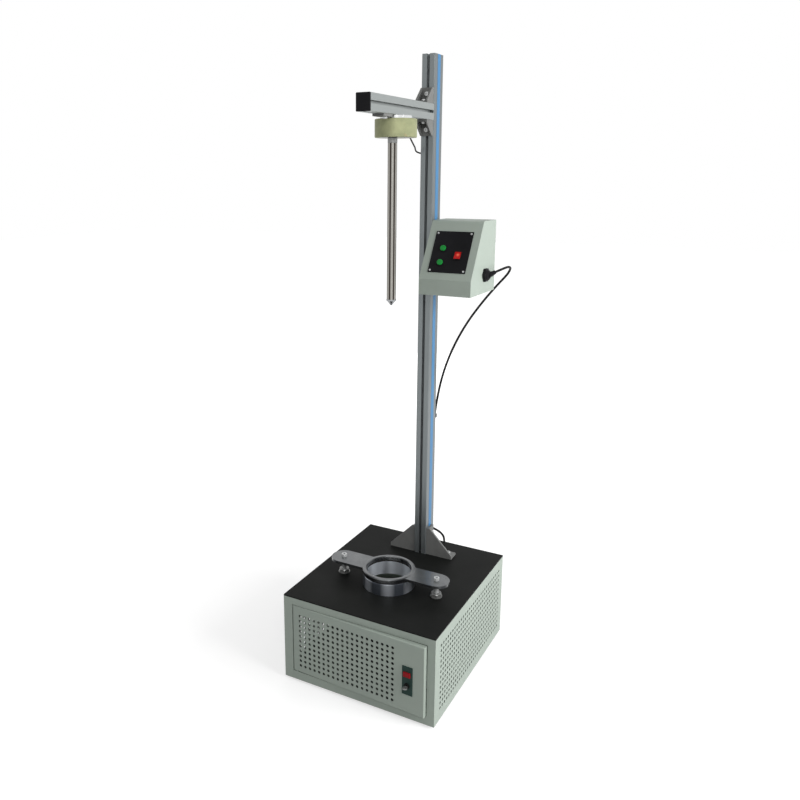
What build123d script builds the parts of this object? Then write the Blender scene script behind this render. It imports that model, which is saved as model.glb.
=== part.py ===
from build123d import *
import math
import os

# Falling rod impact tester: a perforated sheet steel cabinet carries a ring clamp for the specimen and
# a slotted column, whose arm holds the rod by an electromagnet above the ring.
# Millimetres. +X is the operator's right, +Y is away from the operator, +Z is up. The origin is on the
# surface that the feet stand on, below the middle of the cabinet.

# Cabinet
CABINET_WIDTH = 480.0
CABINET_DEPTH = 540.0
SHELL_HEIGHT = 262.0
SHEET = 1.5
FLANGE = 20.0
PAN_FLANGE = 15.0
FOOT_HEIGHT = 8.0
FOOT_RADIUS = 15.0
FOOT_INSET = 45.0
FOOT_STUD_RADIUS = 3.0
TOP_PLATE_THICKNESS = 4.0
TOP_SCREW_RADIUS = 3.5
TOP_SCREW_INSET = 14.0
TOP_SCREW_DEPTH = 2.4
TOP_SCREW_SHANK = 2.0
FIT_CLEARANCE = 0.1

# Door in the front frame, standing a little ajar
DOOR_LEFT = 30.0
DOOR_RIGHT = 24.5
DOOR_BOTTOM = 27.5
DOOR_TOP = 22.5
DOOR_GAP = 1.8
DOOR_RETURN = 14.0
FRAME_RETURN = 12.0
AJAR_ANGLE = 1.9
HINGE_FROM_EDGE = 10.0
HINGE_BEHIND_FACE = 5.0
HINGE_PIN_RADIUS = 2.5
HINGE_PIN_REACH = 6.0
HINGE_HEAD_RADIUS = 3.4
HINGE_HEAD_HEIGHT = 3.0
HINGE_CLEARANCE = 0.08

# Perforation of the door
HOLE_PITCH = 16.0
HOLE_RADIUS = 4.2
HOLE_COLUMNS = 20
HOLE_ROWS = 11
FIRST_HOLE_FROM_DOOR_EDGE = 25.3
FIRST_HOLE_FROM_DOOR_TOP = 29.7

# Lock on the door
LOCK_WIDTH = 31.0
LOCK_HEIGHT = 85.0
LOCK_PLATE = 3.0
LOCK_CENTRE_FROM_DOOR_EDGE = 50.0
LOCK_CENTRE_HEIGHT = 134.0
LOCK_BODY_WIDTH = 24.0
LOCK_BODY_HEIGHT = 70.0
LOCK_BODY_DEPTH = 22.0
LOCK_BUTTON_WIDTH = 21.0
LOCK_BUTTON_HEIGHT = 13.5
LOCK_BUTTON_PROUD = 4.5
LOCK_BUTTON_TRAVEL = 3.0
LOCK_BUTTON_ABOVE_CENTRE = 20.0
LOCK_BUTTON_DEPTH = 10.0
CYLINDER_RADIUS = 8.0
CYLINDER_BELOW_CENTRE = 14.0
CYLINDER_PROUD = 3.0
CAM_DEPTH_BEHIND_FACE = 28.0
CAM_LENGTH = 42.0
CAM_WIDTH = 14.0
CAM_THICKNESS = 3.0
KEY_BOW_RADIUS = 7.0
KEY_THICKNESS = 2.2
KEY_PROUD = 15.5
KEEPER_REACH = 26.0
KEEPER_FRONT = 20.0
KEEPER_LENGTH = 30.0
RUNNING_CLEARANCE = 0.3

# Specimen clamp on the top plate, on the drop line of the rod
DROP_LINE_Y = -66.0
RING_BORE_RADIUS = 66.5
LOWER_RING_RADIUS = 77.0
LOWER_RING_HEIGHT = 37.0
SPIGOT_RADIUS = 71.0
GASKET_HEIGHT = 4.0
CLAMP_RING_RADIUS = 79.0
CLAMP_RING_HEIGHT = 12.0
CLAMP_RING_ROUND = 3.0
CLAMP_ARM_WIDTH = 76.0
CLAMP_ARM_THICKNESS = 8.0
CLAMP_POST_OFFSET = 153.0
POST_RADIUS = 7.0
POST_TIP_GAP = 0.5
POST_NUT_FLATS = 29.0
POST_NUT_HEIGHT = 10.0
POST_WASHER_RADIUS = 17.5
POST_WASHER_HEIGHT = 2.0
CLAMP_SCREW_RADIUS = 4.0
CLAMP_SCREW_HEAD_RADIUS = 8.0
CLAMP_SCREW_HEAD_HEIGHT = 8.0
CLAMP_SCREW_REACH = 20.0

# Column and arm, aluminium profiles with T slots
COLUMN_WIDTH = 40.0
COLUMN_DEPTH = 60.0
COLUMN_FRONT_Y = 156.0
COLUMN_LENGTH = 1520.0
PROFILE_CORNER = 2.5
SLOT_OPENING = 8.2
SLOT_LIP = 4.5
SLOT_INNER_WIDTH = 20.0
SLOT_STRAIGHT = 3.0
SLOT_DEPTH = 12.25
SLOT_BOTTOM_WIDTH = 9.0
CORE_BORE_RADIUS = 3.4
TAPE_RECESS_WIDTH = 20.4
TAPE_RECESS_DEPTH = 1.2
TAPE_WIDTH = 20.0
TAPE_THICKNESS = 1.5
TAPE_RIB_WIDTH = 7.6
TAPE_RIB_DEPTH = 3.0
TAPE_END_GAP = 0.5
ARM_WIDTH = 40.0
ARM_HEIGHT = 45.0
ARM_LENGTH = 386.0
ARM_UNDERSIDE = 1614.0
ARM_CAP = 4.0
SLIDE_GAP = 0.2

# Cast gussets at the foot of the column and cast brackets on the arm
GUSSET_LENGTH = 86.0
GUSSET_HEIGHT = 88.0
GUSSET_LIP = 11.0
GUSSET_WALL = 8.0
GUSSET_WEB = 6.0
GUSSET_WIDTH = 52.0
GUSSET_BEHIND = 12.0
GUSSET_BOLTS = (36.0, 66.0)
BRACKET_LEG = 43.0
BRACKET_LIP = 9.0
BRACKET_WALL = 6.0
BRACKET_WEB = 4.0
BRACKET_WIDTH = 36.0
BRACKET_BOLT = 26.0
BOLT_RADIUS = 3.9
BOLT_HEAD_RADIUS = 7.0
BOLT_HEAD_HEIGHT = 4.4
NUT_WIDTH = 15.0
NUT_LENGTH = 20.0
NUT_NECK_WIDTH = 7.6
NUT_HEIGHT = 3.4
NUT_BELOW_LIP = 0.1
BACKING_PLATE_THICKNESS = 6.0
BACKING_PLATE_MARGIN = 12.0

# Electromagnet and rod
MAGNET_RADIUS = 56.0
MAGNET_HEIGHT = 47.4
MAGNET_CENTRE_Y = -47.0
MAGNET_WALL = 12.0
MAGNET_POLE_RADIUS = 24.0
MAGNET_FLOOR = 14.0
MAGNET_EDGE = 1.5
SPACER_RADIUS = 42.0
SPACER_HEIGHT = 8.0
MAGNET_KEEPER_LENGTH = 46.0
MAGNET_KEEPER_WIDTH = 36.0
MAGNET_KEEPER_THICKNESS = 6.0
MAGNET_KEEPER_GAP = 0.3
MAGNET_KEEPER_BOLT = 8.0
MAGNET_KEEPER_CORNER = 4.0
ROD_RADIUS = 12.4
ROD_LENGTH = 444.9
ROD_HEAD_LENGTH = 14.0
ROD_HEAD_RADIUS = 12.8
ROD_TIP_LENGTH = 17.0
ROD_TIP_COLLAR = 4.0
ROD_TIP_COLLAR_RADIUS = 13.6
ROD_TIP_NOSE_RADIUS = 4.0
ROD_STUD_RADIUS = 5.0
ROD_STUD_LENGTH = 12.0
ROD_HANG_GAP = 0.2

# Catch cushion and power supply on the floor of the cabinet
CUSHION_SIDE = 226.0
CUSHION_HEIGHT = 60.0
CUSHION_ROUND = 6.0
SUPPLY_WIDTH = 130.0
SUPPLY_DEPTH = 98.0
SUPPLY_HEIGHT = 38.0
SUPPLY_FROM_EDGE = 120.0
SUPPLY_Y = 165.0
SUPPLY_LEDGE = 14.0
SUPPLY_LEDGE_HEIGHT = 22.0

# Control box on the column's right face
BOX_WIDTH = 158.0
BOX_BOTTOM = 1128.0
BOX_LIP_HEIGHT = 45.0
BOX_HEIGHT = 206.0
BOX_FRONT_Y = 69.0
BOX_BACK_Y = 262.0
BOX_SHEET = 2.0
BOX_BEND = 12.0
BOX_SIDE_GAP = 0.3
PANEL_TILT = 60.0
LABEL_WIDTH = 114.0
LABEL_HEIGHT = 129.0
LABEL_THICKNESS = 1.5
LABEL_CORNER = 2.0
LABEL_FROM_LEFT = 22.0
LABEL_FROM_LIP = 22.0
LABEL_SCREW_INSET = 6.5
LABEL_SCREW_RADIUS = 3.0
LABEL_SCREW_HEIGHT = 1.6
BUTTON_RADIUS = 8.5
BUTTON_PROUD = 6.0
BUTTON_TRAVEL = 3.0
BUTTON_BUSH_RADIUS = 11.0
BUTTON_BUSH_FLANGE = 2.0
BUTTON_BUSH_BODY_RADIUS = 10.0
BUTTON_BUSH_DEPTH = 24.0
BUTTON_FROM_LEFT = 54.5
BUTTON_HEIGHTS = (52.5, 96.5)
ROCKER_FROM_LEFT = 102.5
ROCKER_HEIGHT_ON_PANEL = 76.0
ROCKER_WIDTH = 19.0
ROCKER_LENGTH = 23.0
ROCKER_FRAME = 2.5
ROCKER_FRAME_PROUD = 2.0
ROCKER_BODY_DEPTH = 22.0
ROCKER_TILT = 7.0
ROCKER_RISE = 3.0
BACK_COVER_FLANGE_SCREW_INSET = 10.0
COVER_SCREW_RADIUS = 3.5
COVER_SCREW_HEIGHT = 2.0

# Glands and cords
GLAND_Y = 179.0
GLAND_Z = 1180.5
GLAND_FLATS = 37.0
GLAND_HEX = 9.0
GLAND_DOME_RADIUS = 15.0
GLAND_DOME_LENGTH = 7.0
BOOT_RADIUS = 9.0
BOOT_LENGTH = 22.0
BOOT_SUNK = 4.0
BOOT_STRAIGHT = 26.0
BOOT_END_WALL = 1.5
GLAND_THREAD_RADIUS = 9.0
GLAND_THREAD_LENGTH = 10.0
CORD_RADIUS = 3.5
LOW_GLAND_X = 20.0
LOW_GLAND_Z = 163.0
LOW_GLAND_FLATS = 22.0
LOW_GLAND_HEX = 6.0
LOW_GLAND_DOME_RADIUS = 8.5
LOW_GLAND_DOME_LENGTH = 12.0
LEAD_RADIUS = 2.2
LEAD_BUSH_RADIUS = 4.5
LEAD_BUSH_LENGTH = 6.0
LEAD_BUSH_HEIGHT = 9.0
CLIP_RADIUS = 7.0
CLIP_HEIGHT = 10.0
CLIP_BORE_CLEARANCE = 0.6

# Mains inlet on the back of the cabinet
INLET_FROM_EDGE = 90.0
INLET_Z = 60.0
INLET_WIDTH = 28.0
INLET_HEIGHT = 24.0
INLET_FLANGE_WIDTH = 50.0
INLET_FLANGE = 3.0
INLET_DEPTH = 26.0
INLET_RECESS = 18.0
INLET_WALL = 2.0
PIN_WIDTH = 4.0
PIN_THICKNESS = 2.0
PIN_LENGTH = 15.0
PIN_SPACING = 7.0

# Derived places
HALF_WIDTH = CABINET_WIDTH / 2
HALF_DEPTH = CABINET_DEPTH / 2
SHELL_TOP = FOOT_HEIGHT + SHELL_HEIGHT
TOP = SHELL_TOP + TOP_PLATE_THICKNESS
FRONT_Y = -HALF_DEPTH
BACK_Y = HALF_DEPTH
DOOR_X0 = -HALF_WIDTH + DOOR_LEFT
DOOR_X1 = HALF_WIDTH - DOOR_RIGHT
DOOR_Z0 = FOOT_HEIGHT + DOOR_BOTTOM
DOOR_Z1 = SHELL_TOP - DOOR_TOP
HINGE_X = DOOR_X0 + HINGE_FROM_EDGE
HINGE_Y = FRONT_Y + HINGE_BEHIND_FACE
GASKET_Z = TOP + LOWER_RING_HEIGHT
CLAMP_Z = GASKET_Z + GASKET_HEIGHT
CLAMP_ARM_TOP = CLAMP_Z + (CLAMP_RING_HEIGHT + CLAMP_ARM_THICKNESS) / 2
COLUMN_BACK_Y = COLUMN_FRONT_Y + COLUMN_DEPTH
COLUMN_CENTRE_Y = COLUMN_FRONT_Y + COLUMN_DEPTH / 2
COLUMN_TOP = TOP + COLUMN_LENGTH
ARM_TOP = ARM_UNDERSIDE + ARM_HEIGHT
ARM_BACK_Y = COLUMN_FRONT_Y - SLIDE_GAP
MAGNET_TOP = ARM_UNDERSIDE - SPACER_HEIGHT
MAGNET_FACE = MAGNET_TOP - MAGNET_HEIGHT
ROD_TOP = MAGNET_FACE - ROD_HANG_GAP
ROD_TIP_Z = ROD_TOP - ROD_LENGTH
INLET_X = -HALF_WIDTH + INLET_FROM_EDGE
SUPPLY_X = -HALF_WIDTH + SUPPLY_FROM_EDGE
BOX_LEFT = COLUMN_WIDTH / 2 + BOX_SIDE_GAP
BOX_RIGHT = BOX_LEFT + BOX_WIDTH
BOX_TOP = BOX_BOTTOM + BOX_HEIGHT
PANEL_FOOT_Z = BOX_BOTTOM + BOX_LIP_HEIGHT
PAN_FLOOR = FOOT_HEIGHT + SHEET


def span(x, y, z):
    """Box between the given low and high limits on each axis."""
    size = Box(x[1] - x[0], y[1] - y[0], z[1] - z[0])
    return Pos((x[0] + x[1]) / 2, (y[0] + y[1]) / 2, (z[0] + z[1]) / 2) * size


def post(x, y, z, radius):
    """Upright cylinder between two heights."""
    return Pos(x, y, (z[0] + z[1]) / 2) * Cylinder(radius, z[1] - z[0])


def along_x(x, y, z, radius):
    """Cylinder along X between two places."""
    return Pos((x[0] + x[1]) / 2, y, z) * Rot(0, 90, 0) * Cylinder(radius, x[1] - x[0])


def along_y(x, y, z, radius):
    """Cylinder along Y between two places."""
    return Pos(x, (y[0] + y[1]) / 2, z) * Rot(90, 0, 0) * Cylinder(radius, y[1] - y[0])


def corner_points(half_x, half_y):
    """The four corners of a rectangle about the origin."""
    return [(sx * half_x, sy * half_y) for sx in (-1, 1) for sy in (-1, 1)]


# Cabinet sheets
def base_pan():
    """Bottom tray with upturned edges, between the side sheets."""
    x = HALF_WIDTH - SHEET
    y = HALF_DEPTH - SHEET
    tray = span((-x, x), (-y, y), (FOOT_HEIGHT, PAN_FLOOR + PAN_FLANGE))
    hollow = span((SHEET - x, x - SHEET), (SHEET - y, y - SHEET), (PAN_FLOOR, PAN_FLOOR + PAN_FLANGE))
    pan = tray - hollow
    for fx, fy in foot_places():
        pan -= post(fx, fy, (FOOT_HEIGHT, PAN_FLOOR), FOOT_STUD_RADIUS)
    return pan


def side_panel(side):
    """Side sheet with a top flange that carries the top plate; side is -1 for left, 1 for right."""
    outer = side * HALF_WIDTH
    inner = side * (HALF_WIDTH - SHEET)
    folded = side * (HALF_WIDTH - FLANGE)
    length = (FRONT_Y + SHEET, BACK_Y - SHEET)
    wall = span(sorted((outer, inner)), length, (FOOT_HEIGHT, SHELL_TOP))
    flange_length = (length[0] + FLANGE, length[1] - FLANGE)
    flange = span(sorted((inner, folded)), flange_length, (SHELL_TOP - SHEET, SHELL_TOP))
    return wall + flange


def back_panel():
    """Back sheet with a top flange and cut-outs for the mains inlet and the cord's gland."""
    x = HALF_WIDTH - SHEET
    wall = span((-HALF_WIDTH, HALF_WIDTH), (BACK_Y - SHEET, BACK_Y), (FOOT_HEIGHT, SHELL_TOP))
    flange = span((-x, x), (BACK_Y - FLANGE, BACK_Y - SHEET), (SHELL_TOP - SHEET, SHELL_TOP))
    inlet = span(
        (INLET_X - INLET_WIDTH / 2, INLET_X + INLET_WIDTH / 2),
        (BACK_Y - SHEET, BACK_Y),
        (INLET_Z - INLET_HEIGHT / 2, INLET_Z + INLET_HEIGHT / 2),
    )
    gland = along_y(LOW_GLAND_X, (BACK_Y - SHEET, BACK_Y), LOW_GLAND_Z, CORD_RADIUS + FIT_CLEARANCE)
    return wall + flange - inlet - gland


def front_frame():
    """Front sheet round the door, with a return along each edge of the opening and a top flange."""
    x = HALF_WIDTH - SHEET
    opening_x = (DOOR_X0 - DOOR_GAP, DOOR_X1 + DOOR_GAP)
    opening_z = (DOOR_Z0 - DOOR_GAP, DOOR_Z1 + DOOR_GAP)
    sheet = span((-HALF_WIDTH, HALF_WIDTH), (FRONT_Y, FRONT_Y + SHEET), (FOOT_HEIGHT, SHELL_TOP))
    collar = span(
        (opening_x[0] - SHEET, opening_x[1] + SHEET),
        (FRONT_Y, FRONT_Y + FRAME_RETURN),
        (opening_z[0] - SHEET, opening_z[1] + SHEET),
    )
    flange = span((-x, x), (FRONT_Y + SHEET, FRONT_Y + FLANGE), (SHELL_TOP - SHEET, SHELL_TOP))
    frame = sheet + collar + flange - span(opening_x, (FRONT_Y, FRONT_Y + FRAME_RETURN), opening_z)
    pin_holes = post(HINGE_X, HINGE_Y, (opening_z[0] - SHEET, opening_z[1] + SHEET), HINGE_PIN_RADIUS)
    return frame - pin_holes


def hinge_pins():
    """Headed pins through the frame's returns, on which the door turns."""
    pins = []
    for edge, outward in ((DOOR_Z0, -1), (DOOR_Z1, 1)):
        flange_face = edge + outward * (DOOR_GAP + SHEET)
        shank = sorted((edge - outward * HINGE_PIN_REACH, flange_face))
        head = sorted((flange_face, flange_face + outward * HINGE_HEAD_HEIGHT))
        pin = post(HINGE_X, HINGE_Y, shank, HINGE_PIN_RADIUS)
        pins.append(pin + post(HINGE_X, HINGE_Y, head, HINGE_HEAD_RADIUS))
    return pins


def top_screw_places():
    """Corners and middles of the sides of the top plate."""
    x = HALF_WIDTH - TOP_SCREW_INSET
    y = HALF_DEPTH - TOP_SCREW_INSET
    return corner_points(x, y) + [(0, -y), (0, y), (-x, 0), (x, 0)]


def gusset_bolt_places():
    """Bolts of both foot gussets, seen from above."""
    return [
        (side * (COLUMN_WIDTH / 2 + reach), COLUMN_CENTRE_Y) for side in (-1, 1) for reach in GUSSET_BOLTS
    ]


def top_plate():
    """Flat plate that closes the cabinet, with the drop hole and the holes for everything bolted to it."""
    plate = span((-HALF_WIDTH, HALF_WIDTH), (FRONT_Y, BACK_Y), (SHELL_TOP, TOP))
    plate -= post(0, DROP_LINE_Y, (SHELL_TOP, TOP), SPIGOT_RADIUS + FIT_CLEARANCE)
    for side in (-1, 1):
        plate -= post(side * CLAMP_POST_OFFSET, DROP_LINE_Y, (SHELL_TOP, TOP), POST_RADIUS)
    for x, y in gusset_bolt_places():
        plate -= post(x, y, (SHELL_TOP, TOP), BOLT_RADIUS)
    for x, y in top_screw_places():
        plate -= Pos(x, y, TOP - TOP_SCREW_DEPTH) * screw_cone()
        plate -= post(x, y, (SHELL_TOP, TOP), TOP_SCREW_SHANK)
    return plate


def screw_cone():
    """Countersunk head standing on its small end."""
    middle = Pos(0, 0, TOP_SCREW_DEPTH / 2)
    return middle * Cone(TOP_SCREW_SHANK, TOP_SCREW_RADIUS, TOP_SCREW_DEPTH)


def top_plate_screws():
    """Countersunk screws that end in the flanges below the plate."""
    screws = []
    for x, y in top_screw_places():
        head = Pos(x, y, TOP - TOP_SCREW_DEPTH) * screw_cone()
        screws.append(head + post(x, y, (SHELL_TOP, TOP - TOP_SCREW_DEPTH), TOP_SCREW_SHANK))
    return screws


def foot_places():
    """Centres of the four feet."""
    return corner_points(HALF_WIDTH - FOOT_INSET, HALF_DEPTH - FOOT_INSET)


def rubber_feet():
    """Feet with a moulded stud through the pan."""
    feet = []
    for x, y in foot_places():
        pad = Pos(x, y, FOOT_HEIGHT / 2) * Cone(FOOT_RADIUS - 2, FOOT_RADIUS, FOOT_HEIGHT)
        feet.append(pad + post(x, y, (FOOT_HEIGHT, PAN_FLOOR), FOOT_STUD_RADIUS))
    return feet


def backing_plate():
    """Steel plate under the top plate that spreads the load of the column."""
    reach = COLUMN_WIDTH / 2 + GUSSET_LENGTH + BACKING_PLATE_MARGIN
    y = GUSSET_WIDTH / 2 + BACKING_PLATE_MARGIN
    z = (SHELL_TOP - BACKING_PLATE_THICKNESS, SHELL_TOP)
    plate = span((-reach, reach), (COLUMN_CENTRE_Y - y, COLUMN_CENTRE_Y + y), z)
    for bolt_x, bolt_y in gusset_bolt_places():
        plate -= post(bolt_x, bolt_y, z, BOLT_RADIUS)
    return plate


# Door and lock, built shut and then turned ajar
def ajar(shape):
    """Turn a shut piece of the door to where it stands at rest."""
    return Pos(HINGE_X, HINGE_Y, 0) * Rot(0, 0, -AJAR_ANGLE) * Pos(-HINGE_X, -HINGE_Y, 0) * shape


LOCK_X = DOOR_X1 - LOCK_CENTRE_FROM_DOOR_EDGE
BUTTON_Z = LOCK_CENTRE_HEIGHT + LOCK_BUTTON_ABOVE_CENTRE
CYLINDER_Z = LOCK_CENTRE_HEIGHT - CYLINDER_BELOW_CENTRE
LOCK_FACE_Y = FRONT_Y - LOCK_PLATE


def perforation():
    """Grid of six sided through holes, drawn on the plane of the door's face."""
    x = DOOR_X0 + FIRST_HOLE_FROM_DOOR_EDGE + (HOLE_COLUMNS - 1) * HOLE_PITCH / 2
    z = DOOR_Z1 - FIRST_HOLE_FROM_DOOR_TOP - (HOLE_ROWS - 1) * HOLE_PITCH / 2
    grid = GridLocations(HOLE_PITCH, HOLE_PITCH, HOLE_COLUMNS, HOLE_ROWS)
    holes = Sketch() + [spot * RegularPolygon(HOLE_RADIUS, 6) for spot in grid]
    return Pos(x, FRONT_Y, z) * Rot(-90, 0, 0) * extrude(holes, SHEET)


def door_panel():
    """Perforated pan with a return on each edge, hung on the pins and cut for the lock."""
    height = (DOOR_Z0, DOOR_Z1)
    depth = (FRONT_Y, FRONT_Y + DOOR_RETURN)
    pan = span((DOOR_X0, DOOR_X1), depth, height)
    hollow = span(
        (DOOR_X0 + SHEET, DOOR_X1 - SHEET),
        (FRONT_Y + SHEET, depth[1]),
        (DOOR_Z0 + SHEET, DOOR_Z1 - SHEET),
    )
    lock_cut = span(
        (LOCK_X - LOCK_BODY_WIDTH / 2, LOCK_X + LOCK_BODY_WIDTH / 2),
        (FRONT_Y, FRONT_Y + SHEET),
        (LOCK_CENTRE_HEIGHT - LOCK_BODY_HEIGHT / 2, LOCK_CENTRE_HEIGHT + LOCK_BODY_HEIGHT / 2),
    )
    pivots = post(HINGE_X, HINGE_Y, height, HINGE_PIN_RADIUS + HINGE_CLEARANCE)
    return pan - hollow - lock_cut - pivots - perforation()


def lock_housing():
    """Face plate and body of the lock, with the button's well and the bore of the cylinder."""
    z = LOCK_CENTRE_HEIGHT
    face = span(
        (LOCK_X - LOCK_WIDTH / 2, LOCK_X + LOCK_WIDTH / 2),
        (LOCK_FACE_Y, FRONT_Y),
        (z - LOCK_HEIGHT / 2, z + LOCK_HEIGHT / 2),
    )
    face = chamfer(face.faces().sort_by(Axis.Y)[0].edges(), LOCK_PLATE / 4)
    body = span(
        (LOCK_X - LOCK_BODY_WIDTH / 2, LOCK_X + LOCK_BODY_WIDTH / 2),
        (FRONT_Y, FRONT_Y + LOCK_BODY_DEPTH),
        (z - LOCK_BODY_HEIGHT / 2, z + LOCK_BODY_HEIGHT / 2),
    )
    well = lock_button_block(RUNNING_CLEARANCE, LOCK_BUTTON_TRAVEL + RUNNING_CLEARANCE)
    depth = (LOCK_FACE_Y, FRONT_Y + LOCK_BODY_DEPTH)
    bore = along_y(LOCK_X, depth, CYLINDER_Z, CYLINDER_RADIUS + HINGE_CLEARANCE)
    return face + body - well - bore


def lock_button_block(side, depth):
    """Block of the push button, grown by a clearance at its sides and its inner end."""
    return span(
        (LOCK_X - LOCK_BUTTON_WIDTH / 2 - side, LOCK_X + LOCK_BUTTON_WIDTH / 2 + side),
        (LOCK_FACE_Y - LOCK_BUTTON_PROUD, FRONT_Y + LOCK_BUTTON_DEPTH + depth),
        (BUTTON_Z - LOCK_BUTTON_HEIGHT / 2 - side, BUTTON_Z + LOCK_BUTTON_HEIGHT / 2 + side),
    )


def lock_button():
    """Rectangular push button with softened front edges."""
    button = lock_button_block(0, 0)
    return fillet(button.faces().sort_by(Axis.Y)[0].edges(), 1.2)


def lock_cylinder():
    """Key cylinder with the cam at its inner end, which hangs down when unlocked."""
    cam_y = (FRONT_Y + CAM_DEPTH_BEHIND_FACE, FRONT_Y + CAM_DEPTH_BEHIND_FACE + CAM_THICKNESS)
    barrel = along_y(LOCK_X, (LOCK_FACE_Y - CYLINDER_PROUD, cam_y[0]), CYLINDER_Z, CYLINDER_RADIUS)
    cam_end = CYLINDER_Z - CAM_LENGTH + CAM_WIDTH / 2
    bar = span((LOCK_X - CAM_WIDTH / 2, LOCK_X + CAM_WIDTH / 2), cam_y, (cam_end, CYLINDER_Z))
    lower = along_y(LOCK_X, cam_y, cam_end, CAM_WIDTH / 2)
    upper = along_y(LOCK_X, cam_y, CYLINDER_Z, CAM_WIDTH / 2)
    return barrel + bar + lower + upper


def lock_key():
    """Flat key that stands in the cylinder."""
    y0 = LOCK_FACE_Y - CYLINDER_PROUD
    bow_y = y0 - KEY_PROUD + KEY_BOW_RADIUS
    bow = Pos(LOCK_X, bow_y, CYLINDER_Z) * Cylinder(KEY_BOW_RADIUS, KEY_THICKNESS)
    eye_y = bow_y - KEY_BOW_RADIUS / 2
    eye = Pos(LOCK_X, eye_y, CYLINDER_Z) * Cylinder(KEY_BOW_RADIUS / 4, KEY_THICKNESS)
    blade = span(
        (LOCK_X - CYLINDER_RADIUS / 2, LOCK_X + CYLINDER_RADIUS / 2),
        (y0 - KEY_PROUD + KEY_BOW_RADIUS, y0),
        (CYLINDER_Z - KEY_THICKNESS / 2, CYLINDER_Z + KEY_THICKNESS / 2),
    )
    return bow + blade - eye


def lock_keeper():
    """Folded keeper on the frame's right return, behind which the cam swings when locked."""
    x1 = DOOR_X1 + DOOR_GAP
    z = (CYLINDER_Z - KEEPER_LENGTH / 2, CYLINDER_Z + KEEPER_LENGTH / 2)
    back = FRONT_Y + KEEPER_FRONT + SHEET
    leg = span((x1 + SHEET, x1 + 2 * SHEET), (FRONT_Y + SHEET, back), z)
    tongue = span((x1 + SHEET - KEEPER_REACH, x1 + SHEET), (back - SHEET, back), z)
    return leg + tongue


# Specimen clamp
def lower_ring():
    """Turned steel ring that stands in the drop hole."""
    wall = post(0, DROP_LINE_Y, (TOP, GASKET_Z), LOWER_RING_RADIUS)
    wall = chamfer(wall.edges().group_by(Axis.Z)[-1], 1.5)
    spigot = post(0, DROP_LINE_Y, (SHELL_TOP, TOP), SPIGOT_RADIUS)
    return wall + spigot - post(0, DROP_LINE_Y, (SHELL_TOP, GASKET_Z), RING_BORE_RADIUS)


def ring_gasket():
    """Rubber ring between the two steel rings."""
    z = (GASKET_Z, CLAMP_Z)
    return post(0, DROP_LINE_Y, z, LOWER_RING_RADIUS) - post(0, DROP_LINE_Y, z, RING_BORE_RADIUS)


def clamp_plate():
    """Upper ring with rounded rims, and two round-ended arms over the posts."""
    arm_z = (CLAMP_ARM_TOP - CLAMP_ARM_THICKNESS, CLAMP_ARM_TOP)
    arms = Pos(0, DROP_LINE_Y, arm_z[0]) * extrude(
        SlotCenterToCenter(2 * CLAMP_POST_OFFSET, CLAMP_ARM_WIDTH), CLAMP_ARM_THICKNESS
    )
    ring = post(0, DROP_LINE_Y, (CLAMP_Z, CLAMP_Z + CLAMP_RING_HEIGHT), CLAMP_RING_RADIUS)
    bore = post(0, DROP_LINE_Y, (CLAMP_Z, CLAMP_Z + CLAMP_RING_HEIGHT), RING_BORE_RADIUS)
    ring = ring - bore
    ring = fillet(ring.edges().group_by(Axis.Z)[-1], CLAMP_RING_ROUND)
    plate = arms - bore + ring
    for side in (-1, 1):
        plate -= post(side * CLAMP_POST_OFFSET, DROP_LINE_Y, arm_z, CLAMP_SCREW_RADIUS + FIT_CLEARANCE)
    return plate


def clamp_screws():
    """Socket screws through the arms into the posts."""
    screws = []
    for side in (-1, 1):
        x = side * CLAMP_POST_OFFSET
        head_top = CLAMP_ARM_TOP + CLAMP_SCREW_HEAD_HEIGHT
        head = post(x, DROP_LINE_Y, (CLAMP_ARM_TOP, head_top), CLAMP_SCREW_HEAD_RADIUS)
        socket_depth = CLAMP_SCREW_HEAD_HEIGHT / 2
        socket = Pos(x, DROP_LINE_Y, head_top - socket_depth) * extrude(
            RegularPolygon(CLAMP_SCREW_RADIUS, 6), socket_depth
        )
        shank_foot = CLAMP_ARM_TOP - CLAMP_ARM_THICKNESS - CLAMP_SCREW_REACH
        screws.append(head - socket + post(x, DROP_LINE_Y, (shank_foot, CLAMP_ARM_TOP), CLAMP_SCREW_RADIUS))
    return screws


def clamp_posts():
    """Posts that stand in the top plate, bored for the screws."""
    posts = []
    tip = CLAMP_ARM_TOP - CLAMP_ARM_THICKNESS - POST_TIP_GAP
    for side in (-1, 1):
        x = side * CLAMP_POST_OFFSET
        bore_foot = tip - CLAMP_SCREW_REACH - 2
        bore = post(x, DROP_LINE_Y, (bore_foot, tip), CLAMP_SCREW_RADIUS + FIT_CLEARANCE)
        posts.append(post(x, DROP_LINE_Y, (SHELL_TOP, tip), POST_RADIUS) - bore)
    return posts


def post_nuts():
    """Chamfered hexagon nuts on washers at the foot of the posts."""
    nuts = []
    for side in (-1, 1):
        x = side * CLAMP_POST_OFFSET
        washer = post(x, DROP_LINE_Y, (TOP, TOP + POST_WASHER_HEIGHT), POST_WASHER_RADIUS)
        nut_z = TOP + POST_WASHER_HEIGHT
        corner = POST_NUT_FLATS / math.sqrt(3)
        hexagon = Pos(x, DROP_LINE_Y, nut_z) * extrude(RegularPolygon(corner, 6), POST_NUT_HEIGHT)
        dome = Pos(x, DROP_LINE_Y, nut_z + POST_NUT_HEIGHT / 2) * Cone(
            corner + POST_NUT_HEIGHT / 3, corner - POST_NUT_HEIGHT / 4, POST_NUT_HEIGHT
        )
        bore = post(x, DROP_LINE_Y, (TOP, nut_z + POST_NUT_HEIGHT), POST_RADIUS)
        nuts.append(washer + (hexagon & dome) - bore)
    return nuts


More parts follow.
